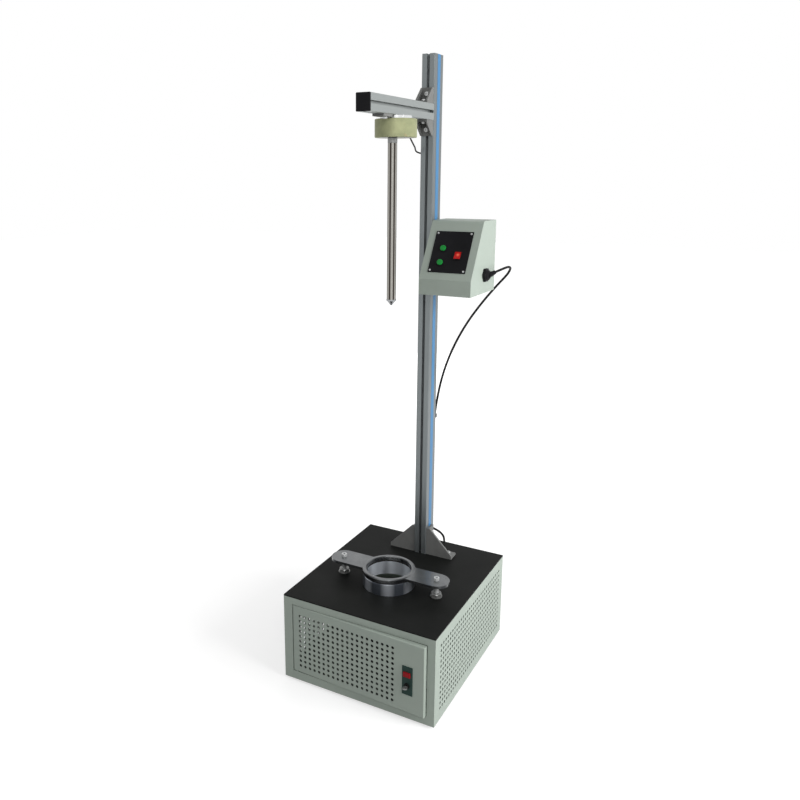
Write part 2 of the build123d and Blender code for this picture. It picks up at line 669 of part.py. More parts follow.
# Slotted profiles
def slot_cut(face_distance):
    """T slot that opens at +Y, its mouth at the given distance from the origin."""
    mouth = SLOT_OPENING / 2
    inner = SLOT_INNER_WIDTH / 2
    floor = SLOT_BOTTOM_WIDTH / 2
    levels = (0, SLOT_LIP, SLOT_LIP + SLOT_STRAIGHT, SLOT_DEPTH)
    half = [
        (mouth, levels[0]),
        (mouth, levels[1]),
        (inner, levels[1]),
        (inner, levels[2]),
        (floor, levels[3]),
    ]
    right = [(x, face_distance - depth) for x, depth in half]
    left = [(-x, y) for x, y in reversed(right)]
    return make_face(Polyline(*right, *left, close=True))


def profile_section(width, depth, recess):
    """Section with one T slot in the middle of each face, and a shallow recess round the side slots."""
    section = RectangleRounded(width, depth, PROFILE_CORNER)
    for angle, distance in ((0, depth / 2), (90, width / 2), (180, depth / 2), (270, width / 2)):
        section -= Rot(0, 0, angle) * slot_cut(distance)
    for side in (-1, 1):
        if recess:
            shallow = Rectangle(2 * TAPE_RECESS_DEPTH, TAPE_RECESS_WIDTH)
            section -= Pos(side * width / 2, 0) * shallow
    return section - Circle(CORE_BORE_RADIUS)


def column():
    """Upright profile."""
    section = profile_section(COLUMN_WIDTH, COLUMN_DEPTH, True)
    return Pos(0, COLUMN_CENTRE_Y, TOP) * extrude(section, COLUMN_LENGTH)


def slot_tape():
    """Coloured cover strips pressed into the column's right slot, above and below the control box."""
    face = COLUMN_WIDTH / 2 - TAPE_RECESS_DEPTH
    strips = []
    lengths = (
        (TOP + GUSSET_HEIGHT + TAPE_END_GAP, BOX_BOTTOM - TAPE_END_GAP),
        (BOX_TOP + TAPE_END_GAP, COLUMN_TOP),
    )
    for z in lengths:
        band_y = (COLUMN_CENTRE_Y - TAPE_WIDTH / 2, COLUMN_CENTRE_Y + TAPE_WIDTH / 2)
        rib_y = (COLUMN_CENTRE_Y - TAPE_RIB_WIDTH / 2, COLUMN_CENTRE_Y + TAPE_RIB_WIDTH / 2)
        band = span((face, face + TAPE_THICKNESS), band_y, z)
        strips.append(band + span((face - TAPE_RIB_DEPTH, face), rib_y, z))
    return strips


def arm():
    """Level profile that reaches from the column over the ring."""
    section = profile_section(ARM_WIDTH, ARM_HEIGHT, False)
    length = ARM_LENGTH - ARM_CAP
    return Pos(0, ARM_BACK_Y, ARM_UNDERSIDE + ARM_HEIGHT / 2) * Rot(90, 0, 0) * extrude(section, length)


def arm_end_cap():
    """Moulded cap on the near end of the arm, with a peg in the profile's bore."""
    y1 = ARM_BACK_Y - ARM_LENGTH + ARM_CAP
    middle = ARM_UNDERSIDE + ARM_HEIGHT / 2
    outline = RectangleRounded(ARM_WIDTH, ARM_HEIGHT, PROFILE_CORNER)
    plate = Pos(0, y1, middle) * Rot(90, 0, 0) * extrude(outline, ARM_CAP)
    plate = chamfer(plate.faces().sort_by(Axis.Y)[0].edges(), ARM_CAP / 4)
    return plate + along_y(0, (y1, y1 + 2 * ARM_CAP), middle, CORE_BORE_RADIUS - FIT_CLEARANCE)


# Cast brackets, bolts and slot nuts
def cast_bracket(out, up, lip, wall, web, width):
    """Angle bracket with its corner at the origin, flanges along +X and +Z, and a web at each end in Y."""
    side = Polyline((0, 0), (out, 0), (out, lip), (lip, up), (0, up), close=True)
    solid = extrude(make_face(Plane.XZ * side), width / 2, both=True)
    pocket = span((wall, out), (web - width / 2, width / 2 - web), (wall, up))
    return solid - pocket


def drilled(bracket, wall, out_holes, up_holes):
    """Drill both flanges of a bracket for its bolts."""
    for x in out_holes:
        bracket -= post(x, 0, (0, wall), BOLT_RADIUS)
    for z in up_holes:
        bracket -= along_x((0, wall), 0, z, BOLT_RADIUS)
    return bracket


def foot_gusset(side):
    """Cast gusset with one web at its front; side is -1 for left of the column, 1 for right."""
    shape = cast_bracket(GUSSET_LENGTH, GUSSET_HEIGHT, GUSSET_LIP, GUSSET_WALL, GUSSET_WEB, GUSSET_WIDTH)
    rear = GUSSET_WIDTH / 2
    shape -= span((GUSSET_WALL, GUSSET_LENGTH), (GUSSET_WEB - rear, rear), (GUSSET_WALL, GUSSET_HEIGHT))
    shape -= span((0, GUSSET_LENGTH), (GUSSET_BEHIND, rear), (0, GUSSET_HEIGHT))
    shape = drilled(shape, GUSSET_WALL, GUSSET_BOLTS, GUSSET_BOLTS)
    if side < 0:
        shape = mirror(shape, about=Plane.YZ)
    return Pos(side * COLUMN_WIDTH / 2, COLUMN_CENTRE_Y, TOP) * shape


def bolt(length):
    """Button head bolt, its head standing on the origin and its shank going down."""
    head = Pos(0, 0, BOLT_HEAD_HEIGHT / 2) * Cylinder(BOLT_HEAD_RADIUS, BOLT_HEAD_HEIGHT)
    head = chamfer(head.edges().group_by(Axis.Z)[-1], BOLT_HEAD_HEIGHT / 3)
    return head + Pos(0, 0, -length / 2) * Cylinder(BOLT_RADIUS, length)


def slot_nut():
    """Nut for a T slot: the slot's mouth is at the origin, its depth runs down, its length along X."""
    top = -SLOT_LIP - NUT_BELOW_LIP
    length = (-NUT_LENGTH / 2, NUT_LENGTH / 2)
    block = span(length, (-NUT_WIDTH / 2, NUT_WIDTH / 2), (top - NUT_HEIGHT, top))
    neck = span(length, (-NUT_NECK_WIDTH / 2, NUT_NECK_WIDTH / 2), (top, top + 3))
    return block + neck - Cylinder(BOLT_RADIUS, 4 * SLOT_LIP)


SLOT_BOLT_REACH = SLOT_LIP + NUT_BELOW_LIP + NUT_HEIGHT


def foot_bolts():
    """Bolts of both gussets: down through the plates and level into the column's side slots."""
    bolts = []
    down = GUSSET_WALL + TOP_PLATE_THICKNESS + BACKING_PLATE_THICKNESS
    for x, y in gusset_bolt_places():
        bolts.append(Pos(x, y, TOP + GUSSET_WALL) * bolt(down))
    for side in (-1, 1):
        for height in GUSSET_BOLTS:
            place = Pos(side * (COLUMN_WIDTH / 2 + GUSSET_WALL), COLUMN_CENTRE_Y, TOP + height)
            bolts.append(place * Rot(0, side * 90, 0) * bolt(GUSSET_WALL + SLOT_BOLT_REACH))
    return bolts


def column_slot_nuts():
    """Nuts in the column's side slots, for the gussets and the control box."""
    heights = [(side, TOP + height) for side in (-1, 1) for height in GUSSET_BOLTS]
    heights += [(1, height) for height in box_bolt_heights()]
    nut = slot_nut()
    return [
        Pos(side * COLUMN_WIDTH / 2, COLUMN_CENTRE_Y, z) * Rot(0, side * 90, 0) * nut for side, z in heights
    ]


def arm_bracket(upward):
    """Cast bracket in the corner of arm and column; upward is 1 above the arm, -1 below it."""
    shape = cast_bracket(BRACKET_LEG, BRACKET_LEG, BRACKET_LIP, BRACKET_WALL, BRACKET_WEB, BRACKET_WIDTH)
    shape = drilled(shape, BRACKET_WALL, (BRACKET_BOLT,), (BRACKET_BOLT,))
    z = ARM_TOP if upward > 0 else ARM_UNDERSIDE
    return Pos(0, ARM_BACK_Y, z) * towards_operator(upward) * shape


def towards_operator(upward):
    """Turn a bracket so that it reaches towards the operator and up, or towards the operator and down."""
    return Rot(0, 0, -90) if upward > 0 else Rot(0, 180, 0) * Rot(0, 0, -90)


def magnet_bracket():
    """Keeper plate under the arm, just in front of the magnet."""
    front = MAGNET_CENTRE_Y - MAGNET_RADIUS
    plate = span(
        (-MAGNET_KEEPER_WIDTH / 2, MAGNET_KEEPER_WIDTH / 2),
        (front - MAGNET_KEEPER_LENGTH, front - MAGNET_KEEPER_GAP),
        (ARM_UNDERSIDE - MAGNET_KEEPER_THICKNESS, ARM_UNDERSIDE),
    )
    plate = fillet(plate.edges().filter_by(Axis.Z).group_by(Axis.Y)[0], MAGNET_KEEPER_CORNER)
    bolt_z = (ARM_UNDERSIDE - MAGNET_KEEPER_THICKNESS, ARM_UNDERSIDE)
    return plate - post(0, front - MAGNET_KEEPER_BOLT, bolt_z, BOLT_RADIUS)


def arm_bolts():
    """Bolts of the arm's brackets, of the magnet's keeper plate and the magnet's own stud."""
    reach = BRACKET_WALL + SLOT_BOLT_REACH
    bolts = []
    for upward, face in ((1, ARM_TOP), (-1, ARM_UNDERSIDE)):
        tilt = Rot(0, 0, 0) if upward > 0 else Rot(180, 0, 0)
        level = Pos(0, ARM_BACK_Y - BRACKET_BOLT, face + upward * BRACKET_WALL) * tilt
        upright = Pos(0, ARM_BACK_Y - BRACKET_WALL, face + upward * BRACKET_BOLT) * Rot(90, 0, 0)
        bolts.append(level * bolt(reach))
        bolts.append(upright * bolt(reach + SLIDE_GAP))
    keeper_y = MAGNET_CENTRE_Y - MAGNET_RADIUS - MAGNET_KEEPER_BOLT
    seat = Pos(0, keeper_y, ARM_UNDERSIDE - MAGNET_KEEPER_THICKNESS)
    bolts.append(seat * Rot(180, 0, 0) * bolt(MAGNET_KEEPER_THICKNESS + SLOT_BOLT_REACH))
    stud = post(0, MAGNET_CENTRE_Y, (MAGNET_TOP, ARM_UNDERSIDE + SLOT_BOLT_REACH), BOLT_RADIUS)
    return bolts + [stud]


def arm_slot_nuts():
    """Nuts in the column's front slot and in the slots above and below the arm."""
    nuts = []
    for upward, face in ((1, ARM_TOP), (-1, ARM_UNDERSIDE)):
        tilt = Rot(0, 0, 90) if upward > 0 else Rot(180, 0, 0) * Rot(0, 0, 90)
        nuts.append(Pos(0, ARM_BACK_Y - BRACKET_BOLT, face) * tilt * slot_nut())
        height = face + upward * BRACKET_BOLT
        nuts.append(Pos(0, COLUMN_FRONT_Y, height) * Rot(90, 0, 0) * Rot(0, 0, 90) * slot_nut())
    for y in (MAGNET_CENTRE_Y - MAGNET_RADIUS - MAGNET_KEEPER_BOLT, MAGNET_CENTRE_Y):
        nuts.append(Pos(0, y, ARM_UNDERSIDE) * Rot(180, 0, 0) * Rot(0, 0, 90) * slot_nut())
    return nuts


# Electromagnet and rod
def magnet_spacer():
    """Steel disc between the magnet and the arm."""
    z = (MAGNET_TOP, ARM_UNDERSIDE)
    return post(0, MAGNET_CENTRE_Y, z, SPACER_RADIUS) - post(0, MAGNET_CENTRE_Y, z, BOLT_RADIUS)


def magnet_pot():
    """Steel pot: an outer wall and a middle pole that share one floor at the top."""
    body = post(0, MAGNET_CENTRE_Y, (MAGNET_FACE, MAGNET_TOP), MAGNET_RADIUS)
    body = chamfer(body.edges(), MAGNET_EDGE)
    return body - magnet_coil()


def magnet_coil():
    """Potted winding in the ring between the wall and the pole."""
    z = (MAGNET_FACE, MAGNET_TOP - MAGNET_FLOOR)
    outer = post(0, MAGNET_CENTRE_Y, z, MAGNET_RADIUS - MAGNET_WALL)
    return outer - post(0, MAGNET_CENTRE_Y, z, MAGNET_POLE_RADIUS)


def rod_shaft():
    """Polished shaft of the falling rod, tapped at both ends."""
    z = (ROD_TIP_Z + ROD_TIP_LENGTH, ROD_TOP - ROD_HEAD_LENGTH)
    shaft = post(0, DROP_LINE_Y, z, ROD_RADIUS)
    shaft -= post(0, DROP_LINE_Y, (z[0], z[0] + ROD_STUD_LENGTH), ROD_STUD_RADIUS)
    return shaft - post(0, DROP_LINE_Y, (z[1] - ROD_STUD_LENGTH, z[1]), ROD_STUD_RADIUS)


def rod_head():
    """Soft iron head that the magnet holds, with its threaded stud."""
    z = ROD_TOP - ROD_HEAD_LENGTH
    head = post(0, DROP_LINE_Y, (z, ROD_TOP), ROD_HEAD_RADIUS)
    head = chamfer(head.edges(), 1)
    return head + post(0, DROP_LINE_Y, (z - ROD_STUD_LENGTH, z), ROD_STUD_RADIUS)


def rod_tip():
    """Hardened tip: a collar, a cone and a rounded nose, turned round the drop line."""
    cone_top = ROD_TIP_LENGTH - ROD_TIP_COLLAR
    nose = ROD_TIP_NOSE_RADIUS
    slope = math.atan2(cone_top - nose, ROD_RADIUS - nose)
    touch = (nose * math.sin(slope), nose - nose * math.cos(slope))
    outline = Polyline(
        touch,
        (ROD_RADIUS, cone_top),
        (ROD_TIP_COLLAR_RADIUS, cone_top),
        (ROD_TIP_COLLAR_RADIUS, ROD_TIP_LENGTH),
        (0, ROD_TIP_LENGTH),
        (0, 0),
    )
    halfway = slope / 2
    round_nose = ThreePointArc((0, 0), (nose * math.sin(halfway), nose - nose * math.cos(halfway)), touch)
    face = Rot(90, 0, 0) * make_face(outline + round_nose)
    tip = Pos(0, DROP_LINE_Y, ROD_TIP_Z) * revolve(face, Axis.Z)
    top = ROD_TIP_Z + ROD_TIP_LENGTH
    return tip + post(0, DROP_LINE_Y, (top, top + ROD_STUD_LENGTH), ROD_STUD_RADIUS)


# Inside the cabinet
def catch_cushion():
    """Rubber block on the floor of the cabinet that stops the rod."""
    low = PAN_FLOOR
    side = (-CUSHION_SIDE / 2, CUSHION_SIDE / 2)
    depth = (DROP_LINE_Y - CUSHION_SIDE / 2, DROP_LINE_Y + CUSHION_SIDE / 2)
    block = span(side, depth, (low, low + CUSHION_HEIGHT))
    return fillet(block.faces().sort_by(Axis.Z)[-1].edges(), CUSHION_ROUND)


def power_supply():
    """Enclosed direct current supply of the magnet, with a ledge for its terminals on the right."""
    x = (SUPPLY_X - SUPPLY_WIDTH / 2, SUPPLY_X + SUPPLY_WIDTH / 2)
    y = (SUPPLY_Y - SUPPLY_DEPTH / 2, SUPPLY_Y + SUPPLY_DEPTH / 2)
    case = span(x, y, (PAN_FLOOR, PAN_FLOOR + SUPPLY_HEIGHT))
    step = (PAN_FLOOR + SUPPLY_LEDGE_HEIGHT, PAN_FLOOR + SUPPLY_HEIGHT)
    ledge = span((x[1] - SUPPLY_LEDGE, x[1]), y, step)
    return case - ledge


# Control box
def panel_plane():
    """Plane of the sloped panel: X to the right, Y up the slope, Z outwards, from its lower left corner."""
    tilt = math.radians(PANEL_TILT)
    normal = (0, -math.sin(tilt), math.cos(tilt))
    return Plane(origin=(BOX_LEFT, BOX_FRONT_Y, PANEL_FOOT_Z), x_dir=(1, 0, 0), z_dir=normal)


def box_outline():
    """Side view of the control box in the plane of Y and Z, with its two bends along the top."""
    run = (BOX_TOP - PANEL_FOOT_Z) / math.tan(math.radians(PANEL_TILT))
    points = [
        (BOX_FRONT_Y, BOX_BOTTOM), (BOX_BACK_Y, BOX_BOTTOM), (BOX_BACK_Y, BOX_TOP),
        (BOX_FRONT_Y + run, BOX_TOP), (BOX_FRONT_Y, PANEL_FOOT_Z),
    ]
    face = make_face(Polyline(*points, close=True))
    bends = face.vertices().group_by(Axis.Y)[-1].sort_by(Axis.X)
    return fillet(bends[:1], BOX_BEND)


def box_extrusion(inset):
    """The side view carried across the box, shrunk by a sheet thickness where it is asked for."""
    face = box_outline()
    if inset:
        face = offset(face, -inset, kind=Kind.INTERSECTION)
    placed = Plane.YZ * face
    return Pos(BOX_LEFT + inset, 0, 0) * extrude(placed, BOX_WIDTH - 2 * inset)


def rocker_opening(margin):
    """Rectangle of the rocker on the sloped panel, grown by a margin."""
    return Pos(ROCKER_FROM_LEFT, ROCKER_HEIGHT_ON_PANEL) * Rectangle(
        ROCKER_WIDTH + 2 * margin, ROCKER_LENGTH + 2 * margin
    )


def panel_cuts(thickness):
    """Cutters through the sloped panel for the two button bushes and the rocker's frame."""
    cuts = rocker_opening(ROCKER_FRAME / 2)
    for height in BUTTON_HEIGHTS:
        cuts += Pos(BUTTON_FROM_LEFT, height) * Circle(BUTTON_BUSH_BODY_RADIUS)
    return panel_plane() * Pos(0, 0, -thickness) * extrude(cuts, 2 * thickness)


def box_bolt_heights():
    """Heights of the two bolts that hold the box to the column."""
    return (BOX_BOTTOM + BOX_HEIGHT / 4, BOX_BOTTOM + 3 * BOX_HEIGHT / 4)


def control_box_shell():
    """Bent sheet housing, open at the back, bored for the controls, its bolts and the gland."""
    shell = box_extrusion(0) - box_extrusion(BOX_SHEET)
    inner_z = (BOX_BOTTOM + BOX_SHEET, BOX_TOP - BOX_SHEET)
    inner_x = (BOX_LEFT + BOX_SHEET, BOX_RIGHT - BOX_SHEET)
    shell -= span(inner_x, (BOX_BACK_Y - BOX_SHEET, BOX_BACK_Y), inner_z)
    shell -= panel_cuts(BOX_SHEET * 2)
    shell -= along_x((BOX_RIGHT - BOX_SHEET, BOX_RIGHT), GLAND_Y, GLAND_Z, GLAND_THREAD_RADIUS)
    for z in box_bolt_heights():
        shell -= along_x((BOX_LEFT, BOX_LEFT + BOX_SHEET), COLUMN_CENTRE_Y, z, BOLT_RADIUS)
    return shell


def control_box_cover():
    """Back cover that closes the housing."""
    x = (BOX_LEFT, BOX_RIGHT)
    cover = span(x, (BOX_BACK_Y, BOX_BACK_Y + BOX_SHEET), (BOX_BOTTOM, BOX_TOP))
    return fillet(cover.edges().filter_by(Axis.Y), 3)


def control_box_bolts():
    """Bolts from inside the box into the column's slot."""
    reach = BOX_SHEET + BOX_SIDE_GAP + SLOT_BOLT_REACH
    place = BOX_LEFT + BOX_SHEET
    return [Pos(place, COLUMN_CENTRE_Y, z) * Rot(0, 90, 0) * bolt(reach) for z in box_bolt_heights()]


def cover_screws():
    """Pan head screws at the corners of the back cover."""
    x = BOX_WIDTH / 2 - BACK_COVER_FLANGE_SCREW_INSET
    z = BOX_HEIGHT / 2 - BACK_COVER_FLANGE_SCREW_INSET
    y = BOX_BACK_Y + BOX_SHEET
    middle = (BOX_LEFT + BOX_WIDTH / 2, BOX_BOTTOM + BOX_HEIGHT / 2)
    return [
        along_y(middle[0] + dx, (y, y + COVER_SCREW_HEIGHT), middle[1] + dz, COVER_SCREW_RADIUS)
        for dx, dz in corner_points(x, z)
    ]


def label_centre():
    """Middle of the label plate on the panel."""
    return (LABEL_FROM_LEFT + LABEL_WIDTH / 2, LABEL_FROM_LIP + LABEL_HEIGHT / 2)


def label_plate():
    """Black plate on the sloped panel, cut for the controls."""
    plate = Pos(*label_centre()) * RectangleRounded(LABEL_WIDTH, LABEL_HEIGHT, LABEL_CORNER)
    return panel_plane() * extrude(plate, LABEL_THICKNESS) - panel_cuts(BOX_SHEET * 2)


def label_screws():
    """Small screw heads at the corners of the label plate."""
    screws = []
    for dx, dy in corner_points(LABEL_WIDTH / 2 - LABEL_SCREW_INSET, LABEL_HEIGHT / 2 - LABEL_SCREW_INSET):
        spot = Pos(label_centre()[0] + dx, label_centre()[1] + dy, LABEL_THICKNESS + LABEL_SCREW_HEIGHT / 2)
        head = Cone(LABEL_SCREW_RADIUS, LABEL_SCREW_RADIUS - 0.6, LABEL_SCREW_HEIGHT)
        screws.append(panel_plane() * spot * head)
    return screws


def button_bushes():
    """Bushes with a flange on the label and a body behind the panel, in which the caps slide."""
    bushes = []
    bore = BUTTON_RADIUS + RUNNING_CLEARANCE
    for height in BUTTON_HEIGHTS:
        flange = extrude(Circle(BUTTON_BUSH_RADIUS) - Circle(bore), BUTTON_BUSH_FLANGE)
        rim = Pos(0, 0, LABEL_THICKNESS) * flange
        sleeve = extrude(Circle(BUTTON_BUSH_BODY_RADIUS) - Circle(bore), BUTTON_BUSH_DEPTH)
        floor = extrude(Circle(BUTTON_BUSH_BODY_RADIUS), BUTTON_BUSH_FLANGE)
        body = Pos(0, 0, LABEL_THICKNESS - BUTTON_BUSH_DEPTH) * (sleeve + floor)
        bushes.append(panel_plane() * Pos(BUTTON_FROM_LEFT, height, 0) * (rim + body))
    return bushes


def button_cap(height):
    """Domed push button cap with a shallow dish."""
    foot = LABEL_THICKNESS - BUTTON_BUSH_DEPTH + BUTTON_BUSH_FLANGE + BUTTON_TRAVEL + RUNNING_CLEARANCE
    top = LABEL_THICKNESS + BUTTON_PROUD
    cap = Pos(0, 0, foot) * extrude(Circle(BUTTON_RADIUS), top - foot)
    cap = fillet(cap.edges().group_by(Axis.Z)[-1], 1.5)
    return panel_plane() * Pos(BUTTON_FROM_LEFT, height, 0) * cap


def rocker_frame():
    """Rim and body of the rocker switch, open where the rocker tips."""
    rim = rocker_opening(ROCKER_FRAME) - rocker_opening(RUNNING_CLEARANCE)
    wall = rocker_opening(ROCKER_FRAME / 2) - rocker_opening(RUNNING_CLEARANCE)
    floor = rocker_opening(ROCKER_FRAME / 2)
    bottom = LABEL_THICKNESS - ROCKER_BODY_DEPTH
    shape = Pos(0, 0, LABEL_THICKNESS) * extrude(rim, ROCKER_FRAME_PROUD)
    shape += Pos(0, 0, bottom) * extrude(wall, ROCKER_BODY_DEPTH)
    shape += Pos(0, 0, bottom) * extrude(floor, ROCKER_FRAME)
    return panel_plane() * shape


def power_rocker():
    """Two-faced rocker, tipped to one side about the middle of its frame."""
    half = ROCKER_LENGTH / 2 - RUNNING_CLEARANCE
    drop = half * math.tan(math.radians(ROCKER_TILT))
    foot = half * 0.7
    side = Polyline((-half, 0), (0, -drop / 2), (half, 0), (foot, -7), (-foot, -7), close=True)
    solid = extrude(make_face(Plane.YZ * side), ROCKER_WIDTH / 2 - RUNNING_CLEARANCE, both=True)
    pivot = Pos(ROCKER_FROM_LEFT, ROCKER_HEIGHT_ON_PANEL, LABEL_THICKNESS + ROCKER_RISE)
    return panel_plane() * pivot * Rot(-ROCKER_TILT, 0, 0) * solid


# Glands, cords and inlet
def box_gland():
    """Cord gland on the right of the control box: thread, hexagon, dome and flexible sleeve."""
    corner = GLAND_FLATS / math.sqrt(3)
    thread = Pos(0, 0, -GLAND_THREAD_LENGTH) * extrude(Circle(GLAND_THREAD_RADIUS), GLAND_THREAD_LENGTH)
    hexagon = chamfer(extrude(RegularPolygon(corner, 6), GLAND_HEX).edges().group_by(Axis.Z)[-1], 1.2)
    cap = Cone(GLAND_DOME_RADIUS, BOOT_RADIUS + 2, GLAND_DOME_LENGTH)
    dome = Pos(0, 0, GLAND_HEX + GLAND_DOME_LENGTH / 2) * cap
    body = Pos(BOX_RIGHT, GLAND_Y, GLAND_Z) * Rot(0, 90, 0) * (thread + hexagon + dome)
    middle = BOOT_ROOT + BOOT_DIRECTION * (BOOT_LENGTH / 2)
    sleeve = Cone(BOOT_RADIUS, CORD_RADIUS + BOOT_END_WALL, BOOT_LENGTH)
    return body + Plane(origin=middle, z_dir=BOOT_DIRECTION) * sleeve


BOOT_DIRECTION = Vector(0.66, 0.66, 0.36).normalized()
BOOT_ROOT = Vector(BOX_RIGHT + GLAND_HEX + GLAND_DOME_LENGTH - BOOT_SUNK, GLAND_Y, GLAND_Z)
BOOT_END = BOOT_ROOT + BOOT_DIRECTION * BOOT_LENGTH
LOW_GLAND_END_Y = BACK_Y + LOW_GLAND_HEX + LOW_GLAND_DOME_LENGTH

# Route of the control cord: out of the box, round behind the column, down it, and into the cabinet's back
CONTROL_CORD_ROUTE = [
    tuple(BOOT_END),
    tuple(BOOT_END + BOOT_DIRECTION * BOOT_STRAIGHT),
    (232, 238, 1202),
    (227, 268, 1192),
    (209, 290, 1170),
    (175, 300, 1135),
    (131, 296, 1080),
    (90, 274, 1014),
    (55, 253, 936),
    (29, 240, 851),
    (14, 233, 763),
    (5, 230, 674),
    (0, 229, 585),
    (1, 230, 508),
    (-3, 229, 440),
    (-10, 229, 385),
    (-10, 232, 350),
    (2, 243, 328),
    (22, 260, 312),
    (33, 276, 290),
    (29, 290, 264),
    (26, 308, 238),
    (22, 324, 213),
    (20, 328, 192),
    (20, 321, 174),
    (LOW_GLAND_X, LOW_GLAND_END_Y + 18, LOW_GLAND_Z),
    (LOW_GLAND_X, LOW_GLAND_END_Y, LOW_GLAND_Z),
]

# Route of the magnet's lead: out of its bush, back below the arm and into the column's left slot
LEAD_Y = MAGNET_CENTRE_Y + MAGNET_RADIUS + LEAD_BUSH_LENGTH
LEAD_Z = MAGNET_FACE + LEAD_BUSH_HEIGHT
MAGNET_LEAD_ROUTE = [
    (0, LEAD_Y, LEAD_Z),
    (0, LEAD_Y + 19, LEAD_Z),
    (-3, LEAD_Y + 41, LEAD_Z - 11.6),
    (-9, LEAD_Y + 69, LEAD_Z - 22.6),
    (-17, LEAD_Y + 97, LEAD_Z - 29.6),
    (-28, COLUMN_CENTRE_Y - 48, LEAD_Z - 34.6),
    (-35, COLUMN_CENTRE_Y - 28, LEAD_Z - 38.6),
    (-36, COLUMN_CENTRE_Y - 12, LEAD_Z - 41.6),
    (-31.5, COLUMN_CENTRE_Y - 4.5, LEAD_Z - 43.6),
    (-23.5, COLUMN_CENTRE_Y, LEAD_Z - 45.6),
    (-13, COLUMN_CENTRE_Y, LEAD_Z - 46.6),
]


def cord_path(route):
    """Straight runs joined by arcs, each as large as the two runs beside it allow."""
    points = [Vector(*point) for point in route]
    radii = []
    for before, here, after in zip(points, points[1:], points[2:]):
        into = here - before
        out = after - here
        turn = math.radians(into.get_angle(out))
        radii.append(0.45 * min(into.length, out.length) / math.tan(turn / 2))
    print("radii", [round(radius) for radius in radii], "smallest", round(min(radii), 1))
    print("runs", [round((b - a).length) for a, b in zip(points, points[1:])])
    return FilletPolyline(*points, radius=radii)


def cord_tube(route, radius):
    """Round tube along a cord's route."""
    path = cord_path(route)
    section = Plane(origin=path @ 0, z_dir=path % 0) * Circle(radius)
    tube = sweep(section, path=path)
    expected = math.pi * radius * radius * path.length
    print("tube length", round(path.length), "volume ratio", round(tube.volume / expected, 4))
    return tube


def cord_clips():
    """Saddle clips on the back of the column that hold the control cord."""
    clips = []
    points = [Vector(*point) for point in CONTROL_CORD_ROUTE]
    runs = list(zip(points, points[1:]))
    for start, end in runs[10:15:2]:
        middle = (start + end) * 0.5
        place = Plane(origin=middle, z_dir=end - start)
        bore = place * Cylinder(CORD_RADIUS + CLIP_BORE_CLEARANCE, 4 * CLIP_HEIGHT)
        z = (middle.Z - CLIP_HEIGHT / 2, middle.Z + CLIP_HEIGHT / 2)
        collar = post(middle.X, middle.Y, z, CLIP_RADIUS)
        pad = span((middle.X - CLIP_RADIUS, middle.X + CLIP_RADIUS), (COLUMN_BACK_Y, middle.Y), z)
        clips.append(collar + pad - bore)
    return clips


def low_gland():
    """Small gland where the control cord enters the back of the cabinet."""
    corner = LOW_GLAND_FLATS / math.sqrt(3)
    hexagon = extrude(RegularPolygon(corner, 6), LOW_GLAND_HEX)
    dome = Pos(0, 0, LOW_GLAND_HEX + LOW_GLAND_DOME_LENGTH / 2) * Cone(
        LOW_GLAND_DOME_RADIUS, CORD_RADIUS + 1.5, LOW_GLAND_DOME_LENGTH
    )
    plug = Pos(0, 0, -SHEET) * extrude(Circle(CORD_RADIUS), SHEET)
    return Pos(LOW_GLAND_X, BACK_Y, LOW_GLAND_Z) * Rot(-90, 0, 0) * (hexagon + dome + plug)


def lead_bush():
    """Bush on the rear of the magnet from which its lead leaves."""
    y = MAGNET_CENTRE_Y + MAGNET_RADIUS
    bush = along_y(0, (y - LEAD_BUSH_RADIUS, y + LEAD_BUSH_LENGTH), LEAD_Z, LEAD_BUSH_RADIUS)
    return bush - post(0, MAGNET_CENTRE_Y, (MAGNET_FACE, MAGNET_TOP), MAGNET_RADIUS)


def mains_inlet():
    """Recessed appliance inlet with a flange on the back panel and three flat pins."""
    flange = span(
        (INLET_X - INLET_FLANGE_WIDTH / 2, INLET_X + INLET_FLANGE_WIDTH / 2),
        (BACK_Y, BACK_Y + INLET_FLANGE),
        (INLET_Z - INLET_HEIGHT / 2 - INLET_WALL, INLET_Z + INLET_HEIGHT / 2 + INLET_WALL),
    )
    flange = fillet(flange.edges().filter_by(Axis.Y), 4)
    body = inlet_block(0, (BACK_Y - INLET_DEPTH, BACK_Y + INLET_FLANGE))
    recess = inlet_block(INLET_WALL, (BACK_Y + INLET_FLANGE - INLET_RECESS, BACK_Y + INLET_FLANGE))
    shape = flange + body - recess
    for dx, dz in ((-PIN_SPACING, 2), (0, -3), (PIN_SPACING, 2)):
        foot = BACK_Y + INLET_FLANGE - INLET_RECESS
        x = INLET_X + dx
        z = INLET_Z + dz
        width = (x - PIN_THICKNESS / 2, x + PIN_THICKNESS / 2)
        shape += span(width, (foot, foot + PIN_LENGTH), (z - PIN_WIDTH / 2, z + PIN_WIDTH / 2))
    return shape


def inlet_block(inset, y):
    """Block of the inlet's body, shrunk by an inset."""
    half_width = INLET_WIDTH / 2 - inset
    half_height = INLET_HEIGHT / 2 - inset
    width = (INLET_X - half_width, INLET_X + half_width)
    return span(width, y, (INLET_Z - half_height, INLET_Z + half_height))


def group(solids):
    """Identical loose pieces as one node."""
    return Compound(children=[Solid(piece.solids()[0].wrapped) for piece in solids])


